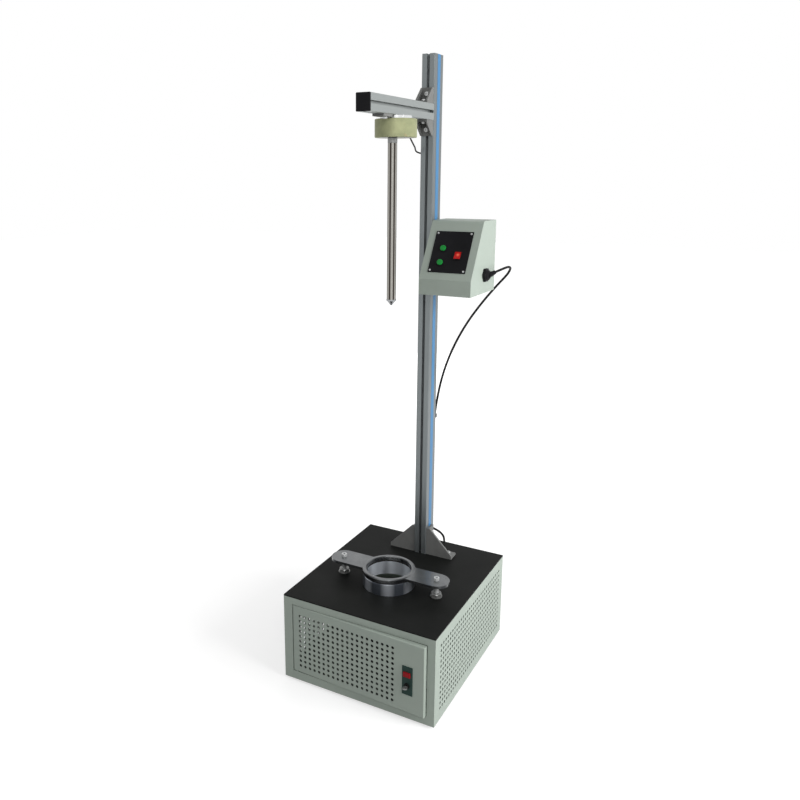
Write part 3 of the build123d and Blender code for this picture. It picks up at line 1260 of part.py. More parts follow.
PARTS = {
    "base_pan": base_pan(),
    "left_panel": side_panel(-1),
    "right_panel": side_panel(1),
    "back_panel": back_panel(),
    "front_frame": front_frame(),
    "hinge_pins": group(hinge_pins()),
    "top_plate": top_plate(),
    "top_plate_screws": group(top_plate_screws()),
    "rubber_feet": group(rubber_feet()),
    "backing_plate": backing_plate(),
    "door_panel": ajar(door_panel()),
    "lock_housing": ajar(lock_housing()),
    "lock_button": ajar(lock_button()),
    "lock_cylinder": ajar(lock_cylinder()),
    "lock_key": ajar(lock_key()),
    "lock_keeper": lock_keeper(),
    "lower_ring": lower_ring(),
    "ring_gasket": ring_gasket(),
    "clamp_plate": clamp_plate(),
    "clamp_screws": group(clamp_screws()),
    "clamp_posts": group(clamp_posts()),
    "post_nuts": group(post_nuts()),
    "column": column(),
    "slot_tape": group(slot_tape()),
    "left_foot_gusset": foot_gusset(-1),
    "right_foot_gusset": foot_gusset(1),
    "column_bolts": group(foot_bolts() + control_box_bolts()),
    "column_slot_nuts": group(column_slot_nuts()),
    "arm": arm(),
    "arm_end_cap": arm_end_cap(),
    "upper_arm_bracket": arm_bracket(1),
    "lower_arm_bracket": arm_bracket(-1),
    "magnet_bracket": magnet_bracket(),
    "arm_bolts": group(arm_bolts()),
    "arm_slot_nuts": group(arm_slot_nuts()),
    "magnet_spacer": magnet_spacer(),
    "magnet_pot": magnet_pot(),
    "magnet_coil": magnet_coil(),
    "lead_bush": lead_bush(),
    "magnet_lead": cord_tube(MAGNET_LEAD_ROUTE, LEAD_RADIUS),
    "rod_shaft": rod_shaft(),
    "rod_head": rod_head(),
    "rod_tip": rod_tip(),
    "catch_cushion": catch_cushion(),
    "power_supply": power_supply(),
    "mains_inlet": mains_inlet(),
    "control_box_shell": control_box_shell(),
    "control_box_cover": control_box_cover(),
    "cover_screws": group(cover_screws()),
    "label_plate": label_plate(),
    "label_screws": group(label_screws()),
    "button_bushes": group(button_bushes()),
    "lower_button": button_cap(BUTTON_HEIGHTS[0]),
    "upper_button": button_cap(BUTTON_HEIGHTS[1]),
    "rocker_frame": rocker_frame(),
    "power_rocker": power_rocker(),
    "box_gland": box_gland(),
    "control_cord": cord_tube(CONTROL_CORD_ROUTE, CORD_RADIUS),
    "cord_clips": group(cord_clips()),
    "cabinet_gland": low_gland(),
}

os.makedirs("parts", exist_ok=True)
for name, shape in PARTS.items():
    export_step(shape, f"parts/{name}.step")
print(len(PARTS), "parts")
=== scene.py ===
"""Visual model of a falling rod impact tester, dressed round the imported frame.

Metres throughout. +X is the operator's right, +Y is away from the operator, +Z is up.
"""

from __future__ import annotations

import logging
import math
from dataclasses import dataclass, field, replace
from enum import Enum

import bmesh
import bpy
import numpy as np
from bpy.types import ID, Material, Node, NodeSocket, NodeTree, Object
from mathutils import Matrix, Vector

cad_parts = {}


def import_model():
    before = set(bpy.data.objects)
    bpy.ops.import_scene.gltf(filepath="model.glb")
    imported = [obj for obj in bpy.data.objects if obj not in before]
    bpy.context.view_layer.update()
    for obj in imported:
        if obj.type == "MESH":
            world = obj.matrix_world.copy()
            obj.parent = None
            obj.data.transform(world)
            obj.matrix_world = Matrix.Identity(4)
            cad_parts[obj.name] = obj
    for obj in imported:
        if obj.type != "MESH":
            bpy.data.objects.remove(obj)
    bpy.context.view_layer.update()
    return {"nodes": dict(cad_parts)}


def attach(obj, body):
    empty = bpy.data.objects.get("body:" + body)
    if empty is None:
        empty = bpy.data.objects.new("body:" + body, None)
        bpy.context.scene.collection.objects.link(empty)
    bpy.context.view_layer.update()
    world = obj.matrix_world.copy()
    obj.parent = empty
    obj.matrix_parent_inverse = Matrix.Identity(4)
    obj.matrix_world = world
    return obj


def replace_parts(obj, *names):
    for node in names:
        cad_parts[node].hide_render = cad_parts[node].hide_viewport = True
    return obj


LOG = logging.getLogger("impact_tester")
MM = 0.001
DIGITS = 7
WELD_DISTANCE = 1e-6
SHARP_ANGLE = math.radians(32)
COLUMN_Y = 0.186
LEVEL_PART = (1.0, 1.0, 0.0)
WHITE = (1.0, 1.0, 1.0)

Point = tuple[float, float, float]
Pair = tuple[float, float]
Box = tuple[float, float, float, float]
Colour = tuple[float, float, float]


class Grain(Enum):
    """The way in which a surface's fine marks run, as the stretch of a noise along X, Y and Z."""

    EVEN = (1.0, 1.0, 1.0)
    ALONG_X = (0.02, 1.0, 1.0)
    ALONG_Y = (1.0, 0.02, 1.0)
    ALONG_Z = (1.0, 1.0, 0.02)
    AROUND_Z = (0.15, 0.15, 6.0)


class Sense(Enum):
    """Which side of the machine a mirrored piece stands on."""

    LEFT = -1
    RIGHT = 1


# Nodes
def feed(tree: NodeTree, socket: NodeSocket, value: object) -> None:
    """Give an input what it takes.

    Args:
        tree: the tree that holds the input.
        socket: the input.
        value: the socket that feeds it, or its value, for a colour without the alpha.
    """
    if isinstance(value, NodeSocket):
        tree.links.new(value, socket)
    else:
        socket.default_value = (*value, 1.0) if socket.type == "RGBA" else value


def add_node(tree: NodeTree, kind: str, *given: object, **values: object) -> Node:
    """Add a node with its properties, values and links.

    Args:
        tree: the tree that gets the node.
        kind: the node's type, without the leading word ShaderNode.
        *given: what its first inputs take, in their order.
        **values: its properties, and then what inputs take by name, with underscores for blanks.

    Returns:
        The new node.
    """
    node = tree.nodes.new(f"ShaderNode{kind}")
    for key, value in values.items():
        if hasattr(node, key):
            setattr(node, key, value)
        else:
            feed(tree, node.inputs[key.replace("_", " ")], value)
    for socket, value in zip(node.inputs, given):
        feed(tree, socket, value)
    return node


def calc(tree: NodeTree, operation: str, *given: object) -> NodeSocket:
    """Result of a number operation."""
    return add_node(tree, "Math", *given, operation=operation).outputs[0]


def calc_vector(tree: NodeTree, operation: str, *given: object) -> NodeSocket:
    """Result of a vector operation: a number for a length or distance, and otherwise a vector."""
    result = "Value" if operation in ("LENGTH", "DISTANCE") else "Vector"
    return add_node(tree, "VectorMath", *given, operation=operation).outputs[result]


def ranged(tree: NodeTree, value: NodeSocket, **limits: float) -> NodeSocket:
    """A number carried from one range to another and kept inside it, each 0 to 1 where no limit is given."""
    return add_node(tree, "MapRange", Value=value, **limits).outputs["Result"]


def mixed(tree: NodeTree, share: NodeSocket, first: object, second: object) -> NodeSocket:
    """The first colour with a share of the second laid over it."""
    return add_node(tree, "Mix", data_type="RGBA", Factor=share, A=first, B=second).outputs["Result"]


# Shared effects
def new_group(name: str, inputs: dict[str, str], outputs: dict[str, str]) -> NodeTree:
    """Make an empty shader group.

    Args:
        name: name of the group.
        inputs: socket name to its kind.
        outputs: socket name to its kind.

    Returns:
        The group's node tree, with its input and output nodes in place.
    """
    tree = bpy.data.node_groups.new(name, "ShaderNodeTree")
    for way, sockets in (("INPUT", inputs), ("OUTPUT", outputs)):
        for label, kind in sockets.items():
            tree.interface.new_socket(name=label, in_out=way, socket_type=f"NodeSocket{kind}")
    tree.nodes.new("NodeGroupInput").name = "in"
    tree.nodes.new("NodeGroupOutput").name = "out"
    return tree


def mottle_group() -> NodeTree:
    """Two colours mixed by a soft noise, for uneven paint, plating and dust.

    Returns:
        A group whose Colour is Base, with Tint laid over it where the noise is high, times Amount.
    """
    kinds = {"Vector": "Vector", "Base": "Color", "Tint": "Color", "Scale": "Float", "Amount": "Float"}
    tree = new_group("Mottle", kinds, {"Colour": "Color"})
    given, out = tree.nodes["in"].outputs, tree.nodes["out"].inputs
    noise = add_node(
        tree, "TexNoise", Vector=given["Vector"], Scale=given["Scale"], Detail=5.0, Roughness=0.6
    ).outputs["Fac"]
    share = calc(tree, "MULTIPLY", ranged(tree, noise, From_Min=0.35, From_Max=0.7), given["Amount"])
    feed(tree, out["Colour"], mixed(tree, share, given["Base"], given["Tint"]))
    return tree


def relief_group() -> NodeTree:
    """Fine marks, stretched along the grain: their height as a normal, and their value as a roughness.

    Returns:
        A group with Normal, and with Roughness swung by Swing about its middle value.
    """
    kinds = dict.fromkeys(("Vector", "Stretch"), "Vector")
    kinds |= dict.fromkeys(("Scale", "Depth", "Roughness", "Swing"), "Float")
    tree = new_group("Fine Relief", kinds, {"Normal": "Vector", "Roughness": "Float"})
    given, out = tree.nodes["in"].outputs, tree.nodes["out"].inputs
    place = calc_vector(tree, "MULTIPLY", given["Vector"], given["Stretch"])
    marks = add_node(tree, "TexNoise", Vector=place, Scale=given["Scale"], Detail=3.0, Roughness=0.6)
    height = marks.outputs["Fac"]
    bump = add_node(tree, "Bump", Strength=1.0, Distance=given["Depth"], Height=height)
    centred = calc(tree, "SUBTRACT", height, 0.5)
    parts = (centred, given["Swing"], given["Roughness"])
    swing = add_node(tree, "Math", *parts, operation="MULTIPLY_ADD", use_clamp=True)
    feed(tree, out["Normal"], bump.outputs["Normal"])
    feed(tree, out["Roughness"], swing.outputs[0])
    return tree


GROUP_MAKERS = {"Mottle": mottle_group, "Fine Relief": relief_group}


def use_group(tree: NodeTree, name: str, **values: object) -> Node:
    """Place a shared effect, made at its first use, and give its inputs what they take."""
    group = bpy.data.node_groups.get(name) or GROUP_MAKERS[name]()
    return add_node(tree, "Group", node_tree=group, **values)


# Finishes
@dataclass(frozen=True)
class Canvas:
    """A material under construction: its tree, the place on the object and the colour so far."""

    tree: NodeTree
    place: NodeSocket
    colour: NodeSocket


@dataclass(frozen=True)
class Finish:
    """A surface finish with uneven colour, fine relief and uneven gloss.

    Attributes:
        name: name of the finish.
        colour: main colour, linear.
        tint: second colour, linear, that shows in patches.
        slot: the record's material slot that it belongs to, where it isn't called like the finish; not used.
        amount: how strongly the second colour shows.
        patches: patches per metre.
        roughness: middle value of the roughness.
        swing: how far the roughness varies.
        marks: fine marks per metre.
        depth: height of the marks.
        grain: the way in which the marks run.
        metallic: 1 for bare metal.
        coat: weight of a clear coat.
        specular: how strongly a matt surface mirrors, 0.5 for common plastics.
        glow: strength of light that the surface gives out.
    """

    name: str
    colour: Colour
    tint: Colour
    slot: str = ""
    amount: float = 0.6
    patches: float = 30.0
    roughness: float = 0.42
    swing: float = 0.1
    marks: float = 500.0
    depth: float = 1e-5
    grain: Grain = Grain.EVEN
    metallic: float = 0.0
    coat: float = 0.0
    specular: float = 0.5
    glow: float = 0.0

    def material(self) -> Material:
        """Give the finish's material, made at the first call.

        Returns:
            The material.
        """
        name = f"{self.name}_finish"
        made = bpy.data.materials.get(name)
        if made is None:
            made = bpy.data.materials.new(name)
            made.use_nodes = True
            made.diffuse_color = (*self.colour, 1.0)
            self.wire(made.node_tree)
        return made

    def wire(self, tree: NodeTree) -> None:
        """Build the finish's nodes round the shader.

        Args:
            tree: the material's node tree, with its first shader and output.
        """
        place = add_node(tree, "TexCoord").outputs["Object"]
        mottle = use_group(
            tree, "Mottle", Vector=place, Base=self.colour, Tint=self.tint, Scale=self.patches,
            Amount=self.amount,
        )
        relief = use_group(
            tree, "Fine Relief", Vector=place, Stretch=self.grain.value, Scale=self.marks, Depth=self.depth,
            Roughness=self.roughness, Swing=self.swing,
        )
        given = {
            "Metallic": self.metallic,
            "Coat Weight": self.coat,
            "Coat Roughness": 0.15,
            "Specular IOR Level": self.specular,
            "Normal": relief.outputs["Normal"],
            "Roughness": relief.outputs["Roughness"],
        }
        if self.glow:
            given |= {"Emission Color": self.colour, "Emission Strength": self.glow}
        shader = tree.nodes["Principled BSDF"].inputs
        for label, value in given.items():
            feed(tree, shader[label], value)
        feed(tree, shader["Base Color"], self.coloured(Canvas(tree, place, mottle.outputs["Colour"])))

    def coloured(self, canvas: Canvas) -> NodeSocket:
        """Return the colour's last socket; a finish with more in its colour adds it here."""
        return canvas.colour


@dataclass(frozen=True)
class DustyFinish(Finish):
    """A finish with a sparse speckle of pale dust or pores.

    The scale is specks per metre, and the share goes from 0, none, to 1, all over.
    """

    speck: Colour = (0.03, 0.03, 0.03)
    speck_scale: float = 350.0
    speck_share: float = 0.2

    def coloured(self, canvas: Canvas) -> NodeSocket:
        """Lay the specks over the colour, where a fine noise is high.

        Args:
            canvas: the material under construction.

        Returns:
            The socket with the specks laid over.
        """
        noise = add_node(canvas.tree, "TexNoise", Vector=canvas.place, Scale=self.speck_scale, Detail=2.0)
        start = 0.78 - 0.3 * self.speck_share
        mask = ranged(canvas.tree, noise.outputs["Fac"], From_Min=start, From_Max=0.85)
        return mixed(canvas.tree, mask, canvas.colour, self.speck)


@dataclass(frozen=True)
class PaintedReflectionFinish(Finish):
    """A turned and polished finish with painted reflection: a room's light and dark upright bands painted into
    its colour, the main colour as the light bands and the dark colour as the dark ones.

    Attributes:
        dark: colour of the dark bands of painted reflection, linear.
        bands: how many dark bands stand round the upright axis.
        turn: direction of the middle of one light band, in degrees from X towards Y.
        share: part of the way round that is dark.
        edge: how soft the bands' edges are, 1 for a plain wave.
        bore: X, Y and radius of a bore in which the painted reflection bands are weaker.
        bore_weight: how strong they are there.
    """

    dark: Colour = (0.05, 0.05, 0.05)
    bands: int = 7
    turn: float = 0.0
    share: float = 0.5
    edge: float = 0.5
    bore: Point = (0.0, 0.0, 0.0)
    bore_weight: float = 0.35

    def coloured(self, canvas: Canvas) -> NodeSocket:
        """Lay the dark bands of painted reflection over the colour.

        A band is where the cosine of the surface's direction round the upright axis, times the number of
        bands, is low. Level faces have no such direction, so the bands fade out towards them.

        Args:
            canvas: the material under construction.

        Returns:
            The socket with the painted reflection bands laid over.
        """
        tree = canvas.tree
        normal = add_node(tree, "TexCoord").outputs["Normal"]
        parts = add_node(tree, "SeparateXYZ", normal).outputs
        angle = calc(tree, "ARCTAN2", parts["Y"], parts["X"])
        phase = calc(tree, "MULTIPLY_ADD", angle, self.bands, -self.bands * math.radians(self.turn))
        middle = -math.cos(math.pi * self.share)
        limits = {"From_Min": middle - self.edge, "From_Max": middle + self.edge, "To_Min": 1.0, "To_Max": 0.0}
        mask = ranged(tree, calc(tree, "COSINE", phase), **limits)
        slope = calc_vector(tree, "LENGTH", calc_vector(tree, "MULTIPLY", normal, LEVEL_PART))
        upright = calc(tree, "MULTIPLY", mask, ranged(tree, slope, From_Min=0.15, From_Max=0.45))
        centre = (-self.bore[0], -self.bore[1], 0.0)
        away = calc_vector(tree, "LENGTH", calc_vector(tree, "MULTIPLY_ADD", canvas.place, LEVEL_PART, centre))
        outside = calc(tree, "GREATER_THAN", away, self.bore[2])
        weight = calc(tree, "MULTIPLY", upright, ranged(tree, outside, To_Min=self.bore_weight, To_Max=1.0))
        return mixed(tree, weight, canvas.colour, self.dark)


@dataclass(frozen=True)
class LitFinish(Finish):
    """A clear coloured finish with a lamp behind it, brightest at one spot.

    Attributes:
        spot: place of the brightest point.
        reach: distance at which the spot's light has faded.
        hot: colour of the spot, linear.
    """

    spot: Point = (0.0, 0.0, 0.0)
    reach: float = 8 * MM
    hot: Colour = (1.0, 0.22, 0.12)

    def coloured(self, canvas: Canvas) -> NodeSocket:
        """Lay the hot spot over the colour and the light, fading as the square of what is left of its reach.

        Args:
            canvas: the material under construction.

        Returns:
            The socket with the spot laid over.
        """
        tree = canvas.tree
        away = calc_vector(tree, "DISTANCE", canvas.place, self.spot)
        near = ranged(tree, away, From_Max=self.reach, To_Min=1.0, To_Max=0.0)
        lit = mixed(tree, calc(tree, "POWER", near, 2.0), canvas.colour, self.hot)
        feed(tree, tree.nodes["Principled BSDF"].inputs["Emission Color"], lit)
        return lit


CABINET_PAINT = DustyFinish(
    "cabinet_paint", (0.305, 0.35, 0.308), (0.272, 0.312, 0.28), amount=0.5, patches=7, roughness=0.5,
    swing=0.14, marks=1300, depth=1.5e-5, specular=0.25, speck=(0.37, 0.41, 0.37), speck_scale=420,
    speck_share=0.1,
)
# Cabinet paint darkened for the base pan inside the cabinet: painted shade, so that the holes in the sheets
# look dark.
INSIDE_PAINTED_SHADE = replace(
    CABINET_PAINT, name="inside_painted_shade", slot="cabinet_paint", colour=(0.05, 0.057, 0.05),
    tint=(0.04, 0.046, 0.04), speck=(0.08, 0.09, 0.08),
)
PLATE_BLACK = DustyFinish(
    "plate_black", (0.007, 0.0075, 0.007), (0.011, 0.0115, 0.011), amount=0.8, patches=9, roughness=0.5,
    swing=0.2, marks=1100, depth=1.5e-5, specular=0.05, speck=(0.03, 0.03, 0.028), speck_scale=300,
)
ZINC_STEEL = Finish(
    "zinc_steel", (0.56, 0.57, 0.57), (0.42, 0.43, 0.43), patches=60, roughness=0.34, swing=0.16, marks=700,
    metallic=0.6,
)
HEAD_STEEL = Finish(
    "head_steel", (0.28, 0.285, 0.28), (0.21, 0.215, 0.21), "zinc_steel", amount=0.5, swing=0.15,
    grain=Grain.AROUND_Z, metallic=0.8,
)
POLISHED_STEEL = Finish(
    "polished_steel", (0.36, 0.37, 0.38), (0.28, 0.29, 0.3), amount=0.35, patches=25, roughness=0.24,
    swing=0.14, grain=Grain.AROUND_Z, metallic=1.0,
)
SPACER_STEEL = Finish(
    "spacer_steel", (0.74, 0.75, 0.75), (0.64, 0.65, 0.66), "polished_steel", amount=0.3, roughness=0.24,
    depth=3e-6, grain=Grain.AROUND_Z, metallic=0.9,
)
# Ring steel with painted reflection: its light main colour and bluish dark bands stand in for the room
# mirrored in the polished ring, weaker in the bore.
RING_STEEL = PaintedReflectionFinish(
    "ring_steel", (0.78, 0.82, 0.88), (0.66, 0.7, 0.76), "polished_steel", amount=0.4, roughness=0.34,
    depth=3e-6, grain=Grain.AROUND_Z, metallic=0.85, dark=(0.11, 0.125, 0.15), turn=-66.8, share=0.64,
    edge=0.9, bore=(0.0, -0.047, 0.0717),
)
# Rod steel with painted reflection: dark upright bands painted round the chromed rod.
ROD_STEEL = PaintedReflectionFinish(
    "rod_steel", (0.36, 0.35, 0.32), (0.3, 0.29, 0.27), "polished_steel", amount=0.4, patches=18,
    roughness=0.34, swing=0.04, marks=260, depth=4e-7, grain=Grain.ALONG_Z, metallic=0.85,
    dark=(0.022, 0.014, 0.011), turn=-60.8, share=0.42, edge=0.6,
)
# Clamp steel with painted reflection: dark bands painted on its rims and rounded edges.
CLAMP_STEEL = PaintedReflectionFinish(
    "clamp_steel", (0.19, 0.196, 0.2), (0.13, 0.136, 0.142), amount=0.7, patches=22, roughness=0.24,
    swing=0.18, marks=800, depth=6e-6, grain=Grain.ALONG_X, metallic=0.9, dark=(0.04, 0.042, 0.045),
    bands=5, edge=0.7,
)
COLUMN_ALUMINIUM = Finish(
    "column_aluminium", (0.198, 0.218, 0.223), (0.17, 0.187, 0.192), "profile_aluminium", amount=0.4,
    patches=8, swing=0.16, marks=900, grain=Grain.ALONG_Z, metallic=0.75,
)
# The column's aluminium painted lighter for the arm: painted light, standing in for the key lamp's sheen,
# which glossy surfaces don't show.
ARM_ALUMINIUM_PAINTED_LIGHT = replace(
    COLUMN_ALUMINIUM, name="arm_aluminium_painted_light", colour=(0.33, 0.355, 0.35), tint=(0.29, 0.313, 0.31),
    grain=Grain.ALONG_Y,
)
BLUE_STRIP = Finish(
    "blue_strip", (0.035, 0.15, 0.31), (0.045, 0.17, 0.34), "blue_plastic", amount=0.5, patches=6,
    roughness=0.38, marks=600, grain=Grain.ALONG_Z, specular=0.3,
)
CAST_DARK = DustyFinish(
    "cast_dark", (0.15, 0.152, 0.148), (0.11, 0.112, 0.11), roughness=0.55, swing=0.2, marks=650, depth=5e-5,
    specular=0.3, speck=(0.24, 0.24, 0.23), speck_scale=500, speck_share=0.3,
)
YELLOW_ZINC = DustyFinish(
    "yellow_zinc", (0.33, 0.342, 0.194), (0.19, 0.207, 0.118), amount=0.8, patches=26, roughness=0.5,
    swing=0.2, marks=450, depth=8e-6, grain=Grain.AROUND_Z, metallic=0.3, specular=0.2,
    speck=(0.3, 0.22, 0.12), speck_scale=70, speck_share=0.5,
)
BLACK_PLASTIC = Finish(
    "black_plastic", (0.008, 0.008, 0.009), (0.012, 0.012, 0.013), patches=40, swing=0.15, marks=1200,
    depth=1.5e-5, specular=0.08,
)
BLACK_RUBBER = DustyFinish(
    "black_rubber", (0.01, 0.01, 0.01), (0.015, 0.015, 0.015), amount=0.7, roughness=0.62, swing=0.15,
    marks=1000, depth=2e-5, specular=0.12,
)
LABEL_BLACK = Finish(
    "label_black", (0.007, 0.007, 0.008), (0.011, 0.011, 0.013), patches=20, roughness=0.34, swing=0.12,
    marks=1500, depth=6e-6, specular=0.08,
)
LOCK_GREY = Finish(
    "lock_grey", (0.016, 0.037, 0.031), (0.023, 0.047, 0.04), amount=0.5, patches=40, swing=0.12, marks=1100,
    depth=1.5e-5, specular=0.1,
)
RED_PLASTIC = Finish(
    "red_plastic", (0.26, 0.008, 0.012), (0.2, 0.005, 0.009), patches=70, roughness=0.36, marks=1200,
    depth=8e-6, specular=0.1,
)
LIT_RED = LitFinish(
    "lit_red", (0.4, 0.006, 0.006), (0.26, 0.002, 0.003), amount=0.7, patches=120, roughness=0.22, marks=600,
    coat=0.2, specular=0.2, glow=0.16, spot=(0.1238, 0.1035, 1.2435),
)
GREEN_PLASTIC = Finish(
    "green_plastic", (0.005, 0.23, 0.032), (0.003, 0.17, 0.026), patches=90, roughness=0.3, marks=900,
    coat=0.1, specular=0.2,
)
CAST_RESIN = Finish(
    "cast_resin", (0.028, 0.028, 0.03), (0.02, 0.02, 0.022), "resin", patches=50, roughness=0.35, swing=0.15,
    marks=400, depth=5e-5,
)


# Surfaces
def grid_faces(rows: int, columns: int, wrap_rows: bool = False, wrap_columns: bool = False) -> np.ndarray:
    """Quads between neighbouring points of a grid.

    Args:
        rows: points along the first parameter.
        columns: points along the second parameter.
        wrap_rows: whether the last row joins the first.
        wrap_columns: whether the last column joins the first.

    Returns:
        One row of four point numbers for each quad.
    """
    i, j = np.meshgrid(
        np.arange(rows if wrap_rows else rows - 1),
        np.arange(columns if wrap_columns else columns - 1),
        indexing="ij",
    )
    below, beside = (i + 1) % rows, (j + 1) % columns
    corners = [i * columns + j, i * columns + beside, below * columns + beside, below * columns + j]
    return np.stack(corners, axis=-1).reshape(-1, 4)


@dataclass
class Shell:
    """A mesh put together from point grids, with the points and faces collected so far."""

    name: str
    points: list[np.ndarray] = field(default_factory=list)
    faces: list[np.ndarray] = field(default_factory=list)

    def add_rings(self, grid: np.ndarray, wrap_rows: bool = False) -> None:
        """Add a grid of points of shape (rows, columns, 3), each row of which is a closed ring."""
        self.add_faces(grid.reshape(-1, 3), grid_faces(*grid.shape[:2], wrap_rows, wrap_columns=True))

    def add_faces(self, points: np.ndarray, faces: np.ndarray) -> None:
        """Add points with quads between them.

        Args:
            points: rows of X, Y and Z.
            faces: rows of four numbers, counted from the first of these points.
        """
        start = sum(len(block) for block in self.points)
        self.points.append(points)
        self.faces.append(faces + start)

    def add_box(self, low: Point, high: Point) -> None:
        """Add a box.

        Args:
            low: its lowest corner.
            high: its highest corner.
        """
        foot = [(0, 0, 0), (1, 0, 0), (1, 1, 0), (0, 1, 0)]
        pick = np.array([*foot, *((x, y, 1) for x, y, _ in foot)])
        faces = [(3, 2, 1, 0), (4, 5, 6, 7), (0, 1, 5, 4), (1, 2, 6, 5), (2, 3, 7, 6), (3, 0, 4, 7)]
        self.add_faces(np.where(pick, high, low), np.array(faces))

    def turn(self, pivot: Pair, degrees: float) -> None:
        """Turn all points so far about an upright line.

        Args:
            pivot: X and Y of the line.
            degrees: the angle, from X towards Y.
        """
        angle = math.radians(degrees)
        c, s = math.cos(angle), math.sin(angle)
        spin = np.array([(c, -s, 0), (s, c, 0), (0, 0, 1)])
        axis = np.array([*pivot, 0.0])
        self.points = [(block - axis) @ spin.T + axis for block in self.points]

    def build(self, finish: Finish, body: str) -> Object:
        """Make the mesh object, dress it and put it on its body.

        Args:
            finish: the finish that it takes.
            body: the body that it rides on.

        Returns:
            The finished object.
        """
        mesh = bpy.data.meshes.new(self.name)
        mesh.from_pydata(np.vstack(self.points).tolist(), [], np.vstack(self.faces).tolist())
        draft = bmesh.new()
        draft.from_mesh(mesh)
        bmesh.ops.remove_doubles(draft, verts=draft.verts, dist=WELD_DISTANCE)
        bmesh.ops.dissolve_degenerate(draft, edges=draft.edges, dist=WELD_DISTANCE)
        bmesh.ops.recalc_face_normals(draft, faces=draft.faces)
        draft.to_mesh(mesh)
        draft.free()
        mesh.shade_smooth()
        mesh.set_sharp_from_angle(angle=SHARP_ANGLE)
        return settle(add_object(self.name, mesh), finish, body)


def add_object(name: str, data: ID) -> Object:
    """Put a new object into the scene.

    Args:
        name: name of the object.
        data: its mesh, curve, lamp or camera.

    Returns:
        The object.
    """
    made = bpy.data.objects.new(name, data)
    bpy.context.scene.collection.objects.link(made)
    return made


def settle(piece: Object, finish: Finish, body: str) -> Object:
    """Give a piece its finish and body, and report it.

    Args:
        piece: the piece.
        finish: its finish.
        body: the body that it rides on.

    Returns:
        The same piece.
    """
    piece.data.materials.append(finish.material())
    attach(piece, body)
    LOG.info("piece %s on %s, %s", piece.name, body, finish.name)
    return piece


def dress(nodes: dict[str, Object], finish: Finish, names: str) -> None:
    """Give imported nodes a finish.

    Args:
        nodes: the frame's nodes by name.
        finish: the finish that they take.
        names: their names, with blanks between them.
    """
    for name in names.split():
        for slot in nodes[name].material_slots:
            slot.link = "OBJECT"
            slot.material = finish.material()
        LOG.info("node %s, %s", name, finish.name)


def frame_of(axis: Point) -> np.ndarray:
    """Three unit directions square to each other.

    Args:
        axis: direction of the last one.

    Returns:
        The directions as rows.
    """
    along = np.array(axis, float) / np.linalg.norm(axis)
    helper = np.array([0.0, 0.0, 1.0]) if abs(along[2]) < 0.9 else np.array([1.0, 0.0, 0.0])
    first = np.cross(helper, along)
    first /= np.linalg.norm(first)
    return np.stack([first, np.cross(along, first), along])


def turned(profile: np.ndarray, centre: Point, axis: Point, segments: int) -> np.ndarray:
    """Surface of revolution, some of whose rows may be hexagons.

    The point at parameters s and t is the centre, plus the axis times the profile's height at s, plus the
    profile's radius at s along a direction turned by t round the axis. Where a row has flats, its radius
    shrinks to that of the hexagon whose corners are on the circle.

    Args:
        profile: rows of radius, height and flats, where flats are 0 for a circle and 1 for a hexagon.
        centre: where the height is nought.
        axis: direction of the height.
        segments: steps round the axis.

    Returns:
        Grid of points, profile by angle.
    """
    angle = np.arange(segments) * 2 * math.pi / segments
    hexagon = math.cos(math.pi / 6) / np.cos(np.mod(angle, math.pi / 3) - math.pi / 6)
    rows = frame_of(axis)
    radius, height, flats = (profile[:, i, None, None] for i in range(3))
    shrink = 1 - flats + flats * hexagon[None, :, None]
    return np.array(centre) + height * rows[2] + radius * shrink * (circle(segments) @ rows[:2])


def circle(segments: int) -> np.ndarray:
    """Directions at even steps once round, as rows of cosine and sine."""
    angle = np.arange(segments) * 2 * math.pi / segments
    return np.stack([np.cos(angle), np.sin(angle)], axis=-1)


def edge_loop(u: np.ndarray, v: np.ndarray) -> np.ndarray:
    """Points once round the edge of a flat grid with the given divisions along its two measures."""
    points = np.stack(np.meshgrid(u, v, indexing="ij"), axis=-1)
    return np.concatenate([points[:, 0], points[-1, 1:], points[-2::-1, -1], points[0, -2:0:-1]])


